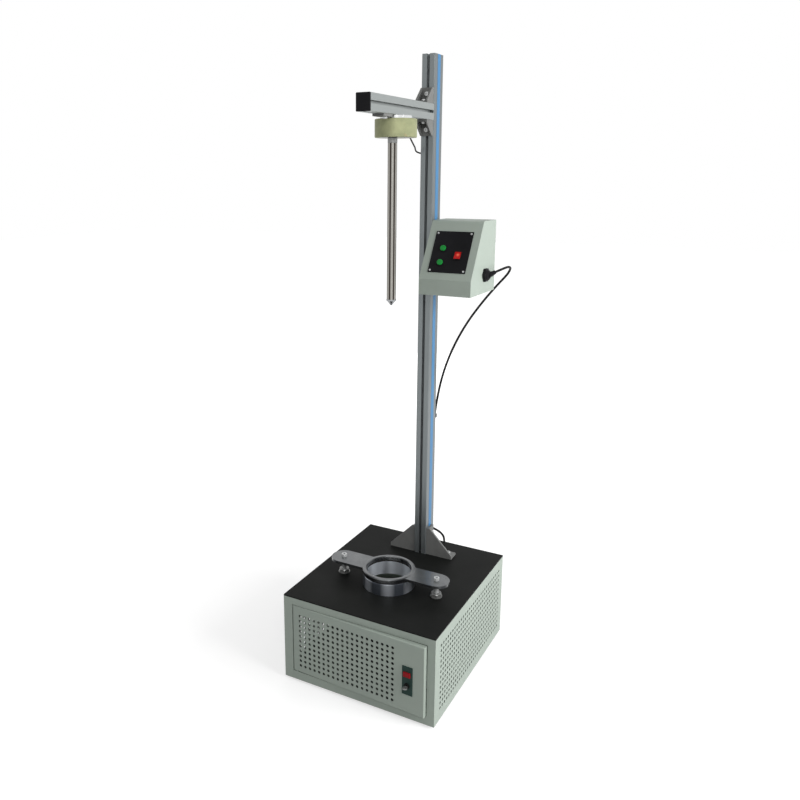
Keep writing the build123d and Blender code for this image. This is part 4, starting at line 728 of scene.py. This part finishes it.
@dataclass(frozen=True)
class Sheet:
    """A flat upright sheet with columns and rows of round holes, measured across and up from a corner.

    Attributes:
        origin: lower corner of the outer face.
        across: unit direction of the first measure.
        inward: unit direction from the outer face to the inner one.
        size: lengths across and up.
        thickness: thickness of the sheet.
        first: the first hole's centre.
        count: columns and rows of holes.
        cut: left, right, bottom and top of a cut-out beside the holes, all nought for none.
        pitch: distance between neighbouring holes.
        radius: radius of a hole.
        sides: straight edges of each hole, a multiple of eight.
    """

    origin: Point
    across: Point
    inward: Point
    size: Pair
    thickness: float
    first: Pair
    count: tuple[int, int]
    cut: Box = (0.0, 0.0, 0.0, 0.0)
    pitch: float = 16 * MM
    radius: float = 4.5 * MM
    sides: int = 16

    def place(self, flat: np.ndarray, depth: float) -> np.ndarray:
        """Points in space of flat points at a depth below the outer face."""
        rows = np.array([self.across, (0, 0, 1)], float)
        return np.array(self.origin) + flat @ rows + depth * np.array(self.inward)

    def cell(self) -> tuple[np.ndarray, np.ndarray]:
        """Work out the square cell round a hole.

        Returns:
            Points of the cell's edge and of its hole, at the same angles from the centre.
        """
        direction = circle(self.sides)
        reach = self.pitch / 2 / np.abs(direction).max(axis=1, keepdims=True)
        return direction * reach, direction * self.radius

    def breaks(self, axis: int) -> np.ndarray:
        """Find where the sheet has points, for its ends, its cells and its cut-out.

        Args:
            axis: 0 for the measure across and 1 for the one up.

        Returns:
            The places along that measure, in rising order.
        """
        steps = np.unique(self.cell()[0][:, axis].round(DIGITS))
        spots = self.first[axis] + np.arange(self.count[axis])[:, None] * self.pitch + steps
        ends = (0.0, self.size[axis], *self.cut[2 * axis : 2 * axis + 2])
        return np.unique(np.append(spots, ends).round(DIGITS))

    def add_to(self, shell: Shell) -> None:
        """Add both faces, the hole walls and the rims.

        Each hole's cell is a ring of quads from the points of a square to those of a circle at the same
        angles. The border is a grid with the cells' own divisions, and the rims join the two faces.

        Args:
            shell: the mesh under construction.
        """
        square, ring = self.cell()
        steps = np.stack(np.mgrid[: self.count[0], : self.count[1]], axis=-1).reshape(-1, 1, 2)
        centres = np.array(self.first) + steps * self.pitch
        deep = self.thickness
        walls = ((square, 0), (ring, 0), (ring, deep), (square, deep))
        cells = np.stack([self.place(centres + edge, depth) for edge, depth in walls], axis=1)
        offsets = np.arange(len(centres))[:, None, None] * 4 * self.sides
        faces = grid_faces(4, self.sides, wrap_columns=True) + offsets
        shell.add_faces(cells.reshape(-1, 3), faces.reshape(-1, 4))
        u, v = self.breaks(0), self.breaks(1)
        points = np.stack(np.meshgrid(u, v, indexing="ij"), axis=-1)
        quads = grid_faces(len(u), len(v))
        middle = points.reshape(-1, 2)[quads].mean(axis=1)
        low = np.array(self.first) - self.pitch / 2
        high = low + np.array(self.count) * self.pitch
        holes = ((middle > low) & (middle < high)).all(axis=1)
        gap = np.round(self.cut, DIGITS).reshape(2, 2)
        inside = ((middle > gap[:, 0]) & (middle < gap[:, 1])).all(axis=1)
        for depth in (0.0, deep):
            shell.add_faces(self.place(points, depth).reshape(-1, 3), quads[~holes & ~inside])
        rims = [edge_loop(u, v)]
        if gap.any():
            rims.append(edge_loop(*(m[(m >= a) & (m <= b)] for m, (a, b) in zip((u, v), gap))))
        for rim in rims:
            shell.add_rings(np.stack([self.place(rim, 0), self.place(rim, deep)]))


def frame_loop(low: Pair, high: Pair, profile: np.ndarray) -> np.ndarray:
    """Closed section carried round a rectangle with mitred corners.

    The point at parameters k and i is the rectangle's corner k, moved inwards along both sides by the
    profile's first number at i, at the depth given by its second number.

    Args:
        low: lower left corner of the rectangle.
        high: upper right corner of the rectangle.
        profile: rows of inset and depth, going once round the section.

    Returns:
        Grid of flat points with depth, section by corner.
    """
    corners = np.array([low, (high[0], low[1]), high, (low[0], high[1])], float)
    inwards = np.array([(1, 1), (-1, 1), (-1, -1), (1, -1)], float)
    flat = corners[None] + profile[:, None, :1] * inwards[None]
    depth = np.broadcast_to(profile[:, None, 1:], (len(profile), 4, 1))
    return np.concatenate([flat, depth], axis=-1)


def bent_edge(bend: float, depth: float, thickness: float, steps: int = 5) -> np.ndarray:
    """Section of a sheet that bends through a right angle and runs back.

    Args:
        bend: outer radius of the bend.
        depth: how far the sheet runs back.
        thickness: thickness of the sheet.
        steps: points along each arc.

    Returns:
        Rows of inset and depth, once round the section.
    """
    turn = np.linspace(0, math.pi / 2, steps)
    outer = np.stack([bend - bend * np.sin(turn), bend - bend * np.cos(turn)], axis=-1)
    tight = bend - thickness
    inner = np.stack([bend - tight * np.sin(turn), bend - tight * np.cos(turn)], axis=-1)[::-1]
    ends = np.array([[0.0, depth], [thickness, depth]])
    return np.concatenate([outer, ends, inner])


# Sub-assemblies
@dataclass
class PerforatedSide:
    """Side sheet of the cabinet with its round perforation and its top flange.

    Attributes:
        sense: left or right.
        half_width: outer face's distance from the middle.
        length: ends of the sheet along Y.
        height: foot and top of the sheet.
        thickness: sheet thickness.
        flange: how far the top flange reaches from the outer face.
        first_hole: Y and Z of the first hole's centre.
        holes: columns and rows of holes.
    """

    sense: Sense
    half_width: float = 0.24
    length: Pair = (-0.2685, 0.2685)
    height: Pair = (0.008, 0.27)
    thickness: float = 1.5 * MM
    flange: float = 20 * MM
    first_hole: Pair = (-0.2296, 0.0426)
    holes: tuple[int, int] = (30, 13)

    def build(self) -> None:
        """Build the sheet and its flange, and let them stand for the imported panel."""
        side = self.sense.value
        front, back = self.length
        low, top = self.height
        shell = Shell(f"perforated_{self.sense.name.lower()}_panel")
        Sheet(
            origin=(side * self.half_width, front, low),
            across=(0, 1, 0),
            inward=(-side, 0, 0),
            size=(back - front, top - low),
            thickness=self.thickness,
            first=(self.first_hole[0] - front, self.first_hole[1] - low),
            count=self.holes,
        ).add_to(shell)
        left, right = sorted(side * (self.half_width - reach) for reach in (self.thickness, self.flange))
        foot = (left, front + self.flange, top - self.thickness)
        shell.add_box(foot, (right, back - self.flange, top))
        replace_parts(shell.build(CABINET_PAINT, "stand"), f"{self.sense.name.lower()}_panel")


@dataclass
class DoorPan:
    """Door of the cabinet: a perforated pan with bent edges, standing ajar on its hinges.

    Attributes:
        low: left and bottom of the pan.
        high: right and top of the pan.
        face_y: outer face's place along Y when shut.
        thickness: sheet thickness.
        bend: outer radius of the bent edges.
        depth: how far the edges run back.
        first_hole: X and Z of the first hole's centre.
        holes: columns and rows of holes.
        lock_cut: left, right, bottom and top of the cut-out for the lock.
        hinge: X and Y of the hinge line.
        ajar: angle by which it stands open, in degrees.
    """

    low: Pair = (-0.21, 0.0355)
    high: Pair = (0.2155, 0.2475)
    face_y: float = -0.27
    thickness: float = 1.5 * MM
    bend: float = 3 * MM
    depth: float = 14 * MM
    first_hole: Pair = (-0.1847, 0.0578)
    holes: tuple[int, int] = (20, 11)
    lock_cut: Box = (0.1535, 0.1775, 0.0978, 0.1698)
    hinge: Pair = (-0.2, -0.265)
    ajar: float = 1.9

    def build(self) -> None:
        """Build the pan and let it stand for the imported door."""
        corner = np.array(self.low) + self.bend
        shell = Shell("perforated_door")
        Sheet(
            origin=(corner[0], self.face_y, corner[1]),
            across=(1, 0, 0),
            inward=(0, 1, 0),
            size=tuple(np.array(self.high) - self.bend - corner),
            thickness=self.thickness,
            first=tuple(np.array(self.first_hole) - corner),
            count=self.holes,
            cut=tuple(np.array(self.lock_cut) - np.repeat(corner, 2)),
        ).add_to(shell)
        flat = frame_loop(self.low, self.high, bent_edge(self.bend, self.depth, self.thickness))
        shell.add_rings(flat[..., [0, 2, 1]] + (0, self.face_y, 0), wrap_rows=True)
        shell.turn(self.hinge, -self.ajar)
        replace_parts(shell.build(CABINET_PAINT, "door"), "door_panel")


@dataclass
class CatchCushion:
    """Soft block under the ring that stops the rod, with full sides and a slightly sunk top.

    Attributes:
        centre: X and Y of its middle.
        foot: height on which it lies.
        height: height of the block.
        half: half of its side.
        fullness: how far the sides swell.
        sink: how far the rod has pressed the top in.
        sink_radius: how far from the middle the top is pressed in.
        edge: radius of the rounded edges.
        squareness: power of the outline, 2 for a circle and more towards a square.
        segments: steps round the block.
    """

    centre: Pair = (0.0, -0.066)
    foot: float = 9.5 * MM
    height: float = 60 * MM
    half: float = 0.113
    fullness: float = 1.5 * MM
    sink: float = 3 * MM
    sink_radius: float = 60 * MM
    edge: float = 6 * MM
    squareness: float = 14.0
    segments: int = 96

    def build(self) -> None:
        """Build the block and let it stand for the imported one.

        At parameters s and t the outline is a rounded square: at the angle t, its distance from the middle
        is one over the root of the summed powers of cosine and sine, times the reach at s. Along s it goes
        up the side with a rounded foot and top edge, and then across the top to the middle, where it sinks
        like a cosine.
        """
        direction = circle(self.segments)
        powers = (np.abs(direction) ** self.squareness).sum(axis=1, keepdims=True)
        outline = direction / powers ** (1 / self.squareness)
        turn = np.linspace(0, math.pi / 2, 6)
        rise = np.linspace(0, 1, 7)[1:-1]
        edge, flat_half = self.edge, self.half - self.edge
        inwards = np.linspace(flat_half, 0, 14)[1:]
        parts = (
            ([0.0], [0.0]),
            (flat_half + edge * np.sin(turn), edge - edge * np.cos(turn)),
            (self.half + self.fullness * np.sin(math.pi * rise), edge + (self.height - 2 * edge) * rise),
            (flat_half + edge * np.cos(turn), self.height - edge + edge * np.sin(turn)),
            (inwards, np.full(len(inwards), self.height)),
        )
        reach, level = np.hstack(parts)
        depth = self.sink * np.cos(np.clip(reach / self.sink_radius, 0, 1) * math.pi / 2)
        dip = np.where(level >= self.height - WELD_DISTANCE, depth, 0)
        flat = np.array(self.centre) + reach[:, None, None] * outline[None]
        height = np.broadcast_to((self.foot + level - dip)[:, None, None], (*flat.shape[:2], 1))
        shell = Shell("soft_catch_block")
        shell.add_rings(np.concatenate([flat, height], axis=-1))
        piece = shell.build(BLACK_RUBBER, "stand")
        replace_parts(piece, "catch_cushion")


@dataclass
class BoxGland:
    """Cord gland on the control box with a ribbed sleeve that bends the cord backwards.

    Attributes:
        seat: middle of its seat on the box's side.
        profile: rows of radius and height in millimetres, and 1 for a row that is a hexagon.
        boot_root: where the sleeve starts.
        boot_way: direction of the sleeve.
        boot_length: length of the sleeve.
        boot_radii: radius of the sleeve at its root and at its end.
        rib: height of a rib over the sleeve's middle radius.
        ribs: how many ribs it has.
    """

    seat: Point = (0.1783, 0.179, 1.1805)
    profile: tuple[Point, ...] = (
        (0, -10, 0), (9, -10, 0), (9, 0, 0), (21.36, 0, 1), (21.36, 7.5, 1), (18.498, 9, 0), (15.5, 9, 0),
        (15, 10.5, 0), (13.5, 13.9, 0), (11, 16, 0), (0, 16, 0),
    )
    boot_root: Point = (0.1903, 0.179, 1.1805)
    boot_way: Point = (0.66, 0.66, 0.36)
    boot_length: float = 22 * MM
    boot_radii: Pair = (9 * MM, 5.4 * MM)
    rib: float = 0.45 * MM
    ribs: int = 6

    def build(self) -> None:
        """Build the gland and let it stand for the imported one.

        The body is a profile turned round X, with the flats of a hexagon on its first rows. The sleeve is
        a tapering profile whose radius swings with a cosine, which makes its ribs.
        """
        s = np.linspace(0, 1, 8 * self.ribs + 1)
        root, end = self.boot_radii
        swell = root * (1 - s) + end * s + self.rib * np.cos(2 * math.pi * self.ribs * s)
        sleeve = np.stack([swell, s * self.boot_length, np.zeros_like(s)], axis=-1)
        sleeve = np.vstack([[(0, 0, 0)], sleeve, [(0, self.boot_length, 0)]])
        body = np.array(self.profile) * (MM, MM, 1)
        shell = Shell("ribbed_gland")
        shell.add_rings(turned(body, self.seat, (1, 0, 0), 48))
        shell.add_rings(turned(sleeve, self.boot_root, self.boot_way, 32))
        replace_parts(shell.build(BLACK_PLASTIC, "stand"), "box_gland")


@dataclass(frozen=True)
class ButtonBolt:
    """Button head bolt with a hexagon socket.

    Attributes:
        head: middle of the seat under its head.
        way: direction from the seat to the top of the head.
        length: length of the shank.
        radius: radius of the head.
        height: height of the head.
        shank: radius of the shank.
        arc: angle over which the dome bends, in radians.
    """

    head: Point
    way: Point
    length: float = 10 * MM
    radius: float = 7 * MM
    height: float = 4.4 * MM
    shank: float = 3.9 * MM
    arc: float = 1.1

    def add_to(self, shell: Shell) -> None:
        """Add the bolt: a shank, a seat and a dome that falls as a cosine, with a six sided socket in it.

        Args:
            shell: the mesh under construction.
        """
        turn = np.linspace(0, self.arc, 7)
        dome_radius = 0.55 + 0.45 * np.cos(turn) ** 0.8
        dome_height = 0.2 + 0.8 * np.sin(turn) / math.sin(self.arc)
        dome = np.stack([dome_radius, dome_height, np.zeros_like(turn)], axis=-1)
        socket = [(0.46, 1, 1), (0.42, 0.85, 1), (0.42, 0.35, 1), (0, 0.25, 0)]
        head = np.vstack([dome, socket]) * (self.radius, self.height, 1)
        foot = -self.length
        stem = [(0, foot, 0), (self.shank, foot, 0), (self.shank, 0, 0), (self.radius, 0, 0)]
        shell.add_rings(turned(np.vstack([stem, head]), self.head, self.way, 24))


@dataclass
class BoltSet:
    """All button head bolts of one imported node, for which they stand as one piece on a body."""

    name: str
    node: str
    body: str
    bolts: list[ButtonBolt]

    def build(self) -> None:
        """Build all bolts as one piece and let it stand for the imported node."""
        shell = Shell(self.name)
        for bolt in self.bolts:
            bolt.add_to(shell)
        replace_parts(shell.build(ZINC_STEEL, self.body), self.node)


def column_bolts() -> BoltSet:
    """Bolts of the two foot gussets, each with two down and two sideways, and of the control box.

    Returns:
        The bolts as one piece.
    """
    bolts = []
    for side in (-1, 1):
        for reach in (36 * MM, 66 * MM):
            bolts.append(ButtonBolt((side * (0.02 + reach), COLUMN_Y, 0.282), (0, 0, 1), 18 * MM))
            bolts.append(ButtonBolt((side * 0.028, COLUMN_Y, 0.274 + reach), (side, 0, 0), 15 * MM))
    for height in (1.1795, 1.2825):
        bolts.append(ButtonBolt((0.0223, COLUMN_Y, height), (1, 0, 0), 9 * MM))
    return BoltSet("column_button_bolts", "column_bolts", "stand", bolts)


def arm_bolts() -> BoltSet:
    """Bolts of the arm's two brackets, of the magnet's keeper plate, and the magnet's stud.

    Returns:
        The bolts as one piece.
    """
    places = [
        ((0, 0.1298, 1.665), (0, 0, 1)), ((0, 0.1498, 1.685), (0, -1, 0)),
        ((0, 0.1298, 1.608), (0, 0, -1)), ((0, 0.1498, 1.588), (0, -1, 0)),
        ((0, -0.111, 1.608), (0, 0, -1)),
    ]
    bolts = [ButtonBolt(head, way, 13 * MM) for head, way in places]
    bolts.append(ButtonBolt((0, -0.047, 1.6215), (0, 0, 1), 15 * MM, radius=3.9 * MM, height=1 * MM))
    return BoltSet("arm_button_bolts", "arm_bolts", "carriage", bolts)


class Lay(Enum):
    """How a cord hangs, as the frame's words for it."""

    HANGING = "hanging"
    LOOSE = "loose"


@dataclass
class Cord:
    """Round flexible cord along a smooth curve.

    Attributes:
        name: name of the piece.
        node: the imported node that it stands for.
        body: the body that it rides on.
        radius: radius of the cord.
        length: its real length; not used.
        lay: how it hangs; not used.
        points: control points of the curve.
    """

    name: str
    node: str
    body: str
    radius: float
    length: float
    lay: Lay
    points: tuple[Point, ...]

    def build(self) -> None:
        curve = bpy.data.curves.new(self.name, "CURVE")
        curve.dimensions = "3D"
        curve.bevel_depth = self.radius
        curve.bevel_resolution = 6
        curve.resolution_u = curve.render_resolution_u = 14
        curve.use_fill_caps = True
        spline = curve.splines.new("NURBS")
        spline.points.add(len(self.points) - 1)
        spline.points.foreach_set("co", [x for point in self.points for x in (*point, 1.0)])
        spline.order_u = 3
        spline.use_endpoint_u = True
        piece = settle(add_object(self.name, curve), BLACK_RUBBER, self.body)
        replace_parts(piece, self.node)


CONTROL_CORD = Cord(
    "free_control_cord", "control_cord", "stand", radius=3.5 * MM, length=1.252, lay=Lay.HANGING,
    points=(
        (0.204814, 0.193514, 1.188417), (0.221967, 0.210667, 1.197773), (0.232, 0.238, 1.202),
        (0.227, 0.268, 1.192), (0.209, 0.29, 1.17), (0.175, 0.3, 1.135), (0.131, 0.296, 1.08),
        (0.09, 0.274, 1.014), (0.055, 0.253, 0.936), (0.029, 0.24, 0.851), (0.014, 0.233, 0.763),
        (0.005, 0.23, 0.674), (0.0, 0.229, 0.585), (0.001, 0.23, 0.508), (-0.003, 0.229, 0.44),
        (-0.01, 0.229, 0.385), (-0.01, 0.232, 0.35), (0.002, 0.243, 0.328), (0.022, 0.26, 0.312),
        (0.033, 0.276, 0.29), (0.029, 0.29, 0.264), (0.026, 0.308, 0.238), (0.022, 0.324, 0.213),
        (0.02, 0.328, 0.192), (0.02, 0.321, 0.174), (0.02, 0.306, 0.163), (0.02, 0.288, 0.163),
    ),
)
MAGNET_LEAD = Cord(
    "free_magnet_lead", "magnet_lead", "carriage", radius=2.2 * MM, length=0.199, lay=Lay.LOOSE,
    points=(
        (0.0, 0.015, 1.5676), (0.0, 0.034, 1.5676), (-0.003, 0.056, 1.556), (-0.009, 0.084, 1.545),
        (-0.017, 0.112, 1.538), (-0.028, 0.138, 1.533), (-0.035, 0.158, 1.529), (-0.036, 0.174, 1.526),
        (-0.0315, 0.1815, 1.524), (-0.0235, 0.186, 1.522), (-0.013, 0.186, 1.521),
    ),
)


DRESSING = (
    # The base pan takes the darkened paint, as painted shade inside the cabinet.
    (INSIDE_PAINTED_SHADE, "base_pan"),
    (CABINET_PAINT, "back_panel front_frame control_box_shell control_box_cover"),
    (
        ZINC_STEEL,
        "hinge_pins backing_plate lock_keeper clamp_screws clamp_posts column_slot_nuts "
        "arm_slot_nuts power_supply cover_screws label_screws",
    ),
    (PLATE_BLACK, "top_plate top_plate_screws lock_cylinder"),
    (BLACK_RUBBER, "rubber_feet ring_gasket lead_bush"),
    (LOCK_GREY, "lock_housing"),
    (RED_PLASTIC, "lock_button"),
    (HEAD_STEEL, "lock_key post_nuts rod_head"),
    (RING_STEEL, "lower_ring"),
    (CLAMP_STEEL, "clamp_plate"),
    (COLUMN_ALUMINIUM, "column"),
    (BLUE_STRIP, "slot_tape"),
    (CAST_DARK, "left_foot_gusset right_foot_gusset upper_arm_bracket lower_arm_bracket magnet_bracket"),
    (ARM_ALUMINIUM_PAINTED_LIGHT, "arm"),
    (BLACK_PLASTIC, "arm_end_cap mains_inlet button_bushes rocker_frame cord_clips cabinet_gland"),
    (SPACER_STEEL, "magnet_spacer"),
    (YELLOW_ZINC, "magnet_pot"),
    (CAST_RESIN, "magnet_coil"),
    (ROD_STEEL, "rod_shaft"),
    (POLISHED_STEEL, "rod_tip"),
    (LABEL_BLACK, "label_plate"),
    (GREEN_PLASTIC, "lower_button upper_button"),
    (LIT_RED, "power_rocker"),
)


# Picture
@dataclass
class Lamp:
    """Large soft area lamp that looks at a target.

    The level is how bright a white surface facing it becomes there, 1 for white, and a lamp that isn't
    mirrored doesn't show in glossy surfaces.
    """

    name: str
    place: Point
    target: Point
    size: Pair
    level: float
    mirrored: bool = True

    def build(self) -> None:
        """Make the lamp with the power that gives its level at the target."""
        data = bpy.data.lights.new(self.name, "AREA")
        data.shape = "RECTANGLE"
        data.size, data.size_y = self.size
        reach = Vector(self.target) - Vector(self.place)
        data.energy = self.level * math.pi**2 * reach.length_squared
        lamp = add_object(self.name, data)
        lamp.visible_glossy = self.mirrored
        facing = reach.to_track_quat("-Z", "Y").to_matrix().to_4x4()
        lamp.matrix_world = Matrix.Translation(self.place) @ facing


def shown_to_eye(tree: NodeTree) -> NodeSocket:
    """Tell what the camera sees, straight or in a mirror or glass, from what only lights matt surfaces.

    Args:
        tree: the tree that gets the nodes.

    Returns:
        A socket that is 1 for the first and 0 for the second.
    """
    path = add_node(tree, "LightPath").outputs
    straight = calc(tree, "MAXIMUM", path["Is Camera Ray"], path["Is Glossy Ray"])
    return calc(tree, "MAXIMUM", straight, path["Is Transmission Ray"])


@dataclass
class Studio:
    """Pale floor and surroundings, lit from the right.

    Attributes:
        floor_size: side of the floor.
        floor_level: height of the floor, a little below the feet.
        floor_colour: colour of the floor under the shadow.
        ambient: level of the surroundings for matt surfaces.
        glow: how much lighter the floor looks to the camera and in mirrors, under the object and far off.
        glow_reach: distances from the middle of the floor between which the glow grows.
        lamps: the lamps.
    """

    floor_size: float = 30.0
    floor_level: float = -0.2 * MM
    floor_colour: Colour = (0.45, 0.45, 0.45)
    ambient: float = 0.36
    glow: Pair = (0.62, 0.9)
    glow_reach: Pair = (0.4, 1.8)
    lamps: tuple[Lamp, ...] = (
        Lamp("key", (3.3, -0.15, 1.9), (0.0, 0.1, 1.1), (2.2, 2.2), 1.5, mirrored=False),
        Lamp("top", (0.3, -0.5, 4.2), (0.0, 0.0, 0.8), (2.5, 2.5), 0.06),
        Lamp("fill", (-1.2, -3.6, 0.9), (0.0, 0.0, 0.6), (2.4, 1.6), 0.07, mirrored=False),
        Lamp("back", (-2.4, 3.4, 1.1), (0.0, 0.0, 0.8), (2.4, 2.0), 0.3, mirrored=False),
        Lamp("glint", (1.7, -2.8, 2.7), (0.0, -0.1, 0.4), (0.5, 0.5), 0.16),
    )

    def build(self) -> None:
        """Make the floor, the surroundings and the lamps."""
        half = self.floor_size / 2
        mesh = bpy.data.meshes.new("floor")
        corners = [(-half, -half, 0), (half, -half, 0), (half, half, 0), (-half, half, 0)]
        mesh.from_pydata(corners, [], [(0, 1, 2, 3)])
        floor = add_object("floor", mesh)
        floor.location.z = self.floor_level
        mesh.materials.append(self.floor_material())
        self.surround()
        for lamp in self.lamps:
            lamp.build()

    def floor_material(self) -> Material:
        """Matt floor that glows for the camera alone, so that only the shadow stays visible.

        The glow grows with the distance from the middle of the floor, where the key lamp reaches less.

        Returns:
            The floor's material.
        """
        made = bpy.data.materials.new("floor")
        made.use_nodes = True
        tree = made.node_tree
        away = calc_vector(tree, "LENGTH", add_node(tree, "TexCoord").outputs["Object"])
        near, far = self.glow_reach
        under, beyond = self.glow
        glow = ranged(tree, away, From_Min=near, From_Max=far, To_Min=under, To_Max=beyond)
        given = {
            "Base Color": self.floor_colour,
            "Roughness": 0.9,
            "Specular IOR Level": 0.1,
            "Emission Color": WHITE,
            "Emission Strength": calc(tree, "MULTIPLY", glow, shown_to_eye(tree)),
        }
        for label, value in given.items():
            feed(tree, tree.nodes["Principled BSDF"].inputs[label], value)
        return made

    def surround(self) -> None:
        """Light the world plainly: white to the camera and in mirrors, and dimmer on matt surfaces."""
        world = bpy.data.worlds.new("surroundings")
        world.use_nodes = True
        bpy.context.scene.world = world
        tree = world.node_tree
        back = tree.nodes["Background"].inputs
        feed(tree, back["Color"], WHITE)
        feed(tree, back["Strength"], ranged(tree, shown_to_eye(tree), To_Min=self.ambient, To_Max=1.0))


@dataclass(frozen=True)
class Viewpoint:
    """The camera, fitted to the proportions of the machine as it is seen from its right.

    Angles are in degrees: azimuth round the machine, elevation above the horizon and roll about the line
    of sight. Focal length and sensor width are in millimetres, and the shift goes sideways and up.
    """

    place: Point = (0.956993, -1.996427, 1.464677)
    azimuth: float = 29.187
    elevation: float = 12.931
    roll: float = -0.156
    lens: float = 35.608
    sensor: float = 36.0
    shift: Pair = (0.059, -0.055)

    def build(self) -> None:
        """Make the camera and let the scene look through it."""
        data = bpy.data.cameras.new("camera")
        data.sensor_width = self.sensor
        data.lens = self.lens
        data.shift_x, data.shift_y = self.shift
        data.clip_start, data.clip_end = 0.01, 100.0
        camera = add_object("camera", data)
        a, e, r = (math.radians(x) for x in (self.azimuth, self.elevation, self.roll))
        back = Vector((math.sin(a) * math.cos(e), -math.cos(a) * math.cos(e), math.sin(e)))
        right = Vector((math.cos(a), math.sin(a), 0))
        up = back.cross(right)
        rolled_right = right * math.cos(r) + up * math.sin(r)
        rolled_up = up * math.cos(r) - right * math.sin(r)
        rows = Matrix((rolled_right, rolled_up, back)).transposed().to_4x4()
        camera.matrix_world = Matrix.Translation(self.place) @ rows
        bpy.context.scene.camera = camera


def main() -> None:
    """Load the frame, build and dress every sub-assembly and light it."""
    logging.basicConfig(level=logging.INFO, format="%(name)s: %(message)s")
    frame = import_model()
    Viewpoint().build()
    bpy.context.scene.view_settings.view_transform = "Standard"
    CONTROL_CORD.build()
    MAGNET_LEAD.build()
    for side in Sense:
        PerforatedSide(side).build()
    DoorPan().build()
    CatchCushion().build()
    BoxGland().build()
    column_bolts().build()
    arm_bolts().build()
    for finish, names in DRESSING:
        dress(frame["nodes"], finish, names)
    Studio().build()
    bpy.context.view_layer.update()


if __name__ == "__main__":
    main()
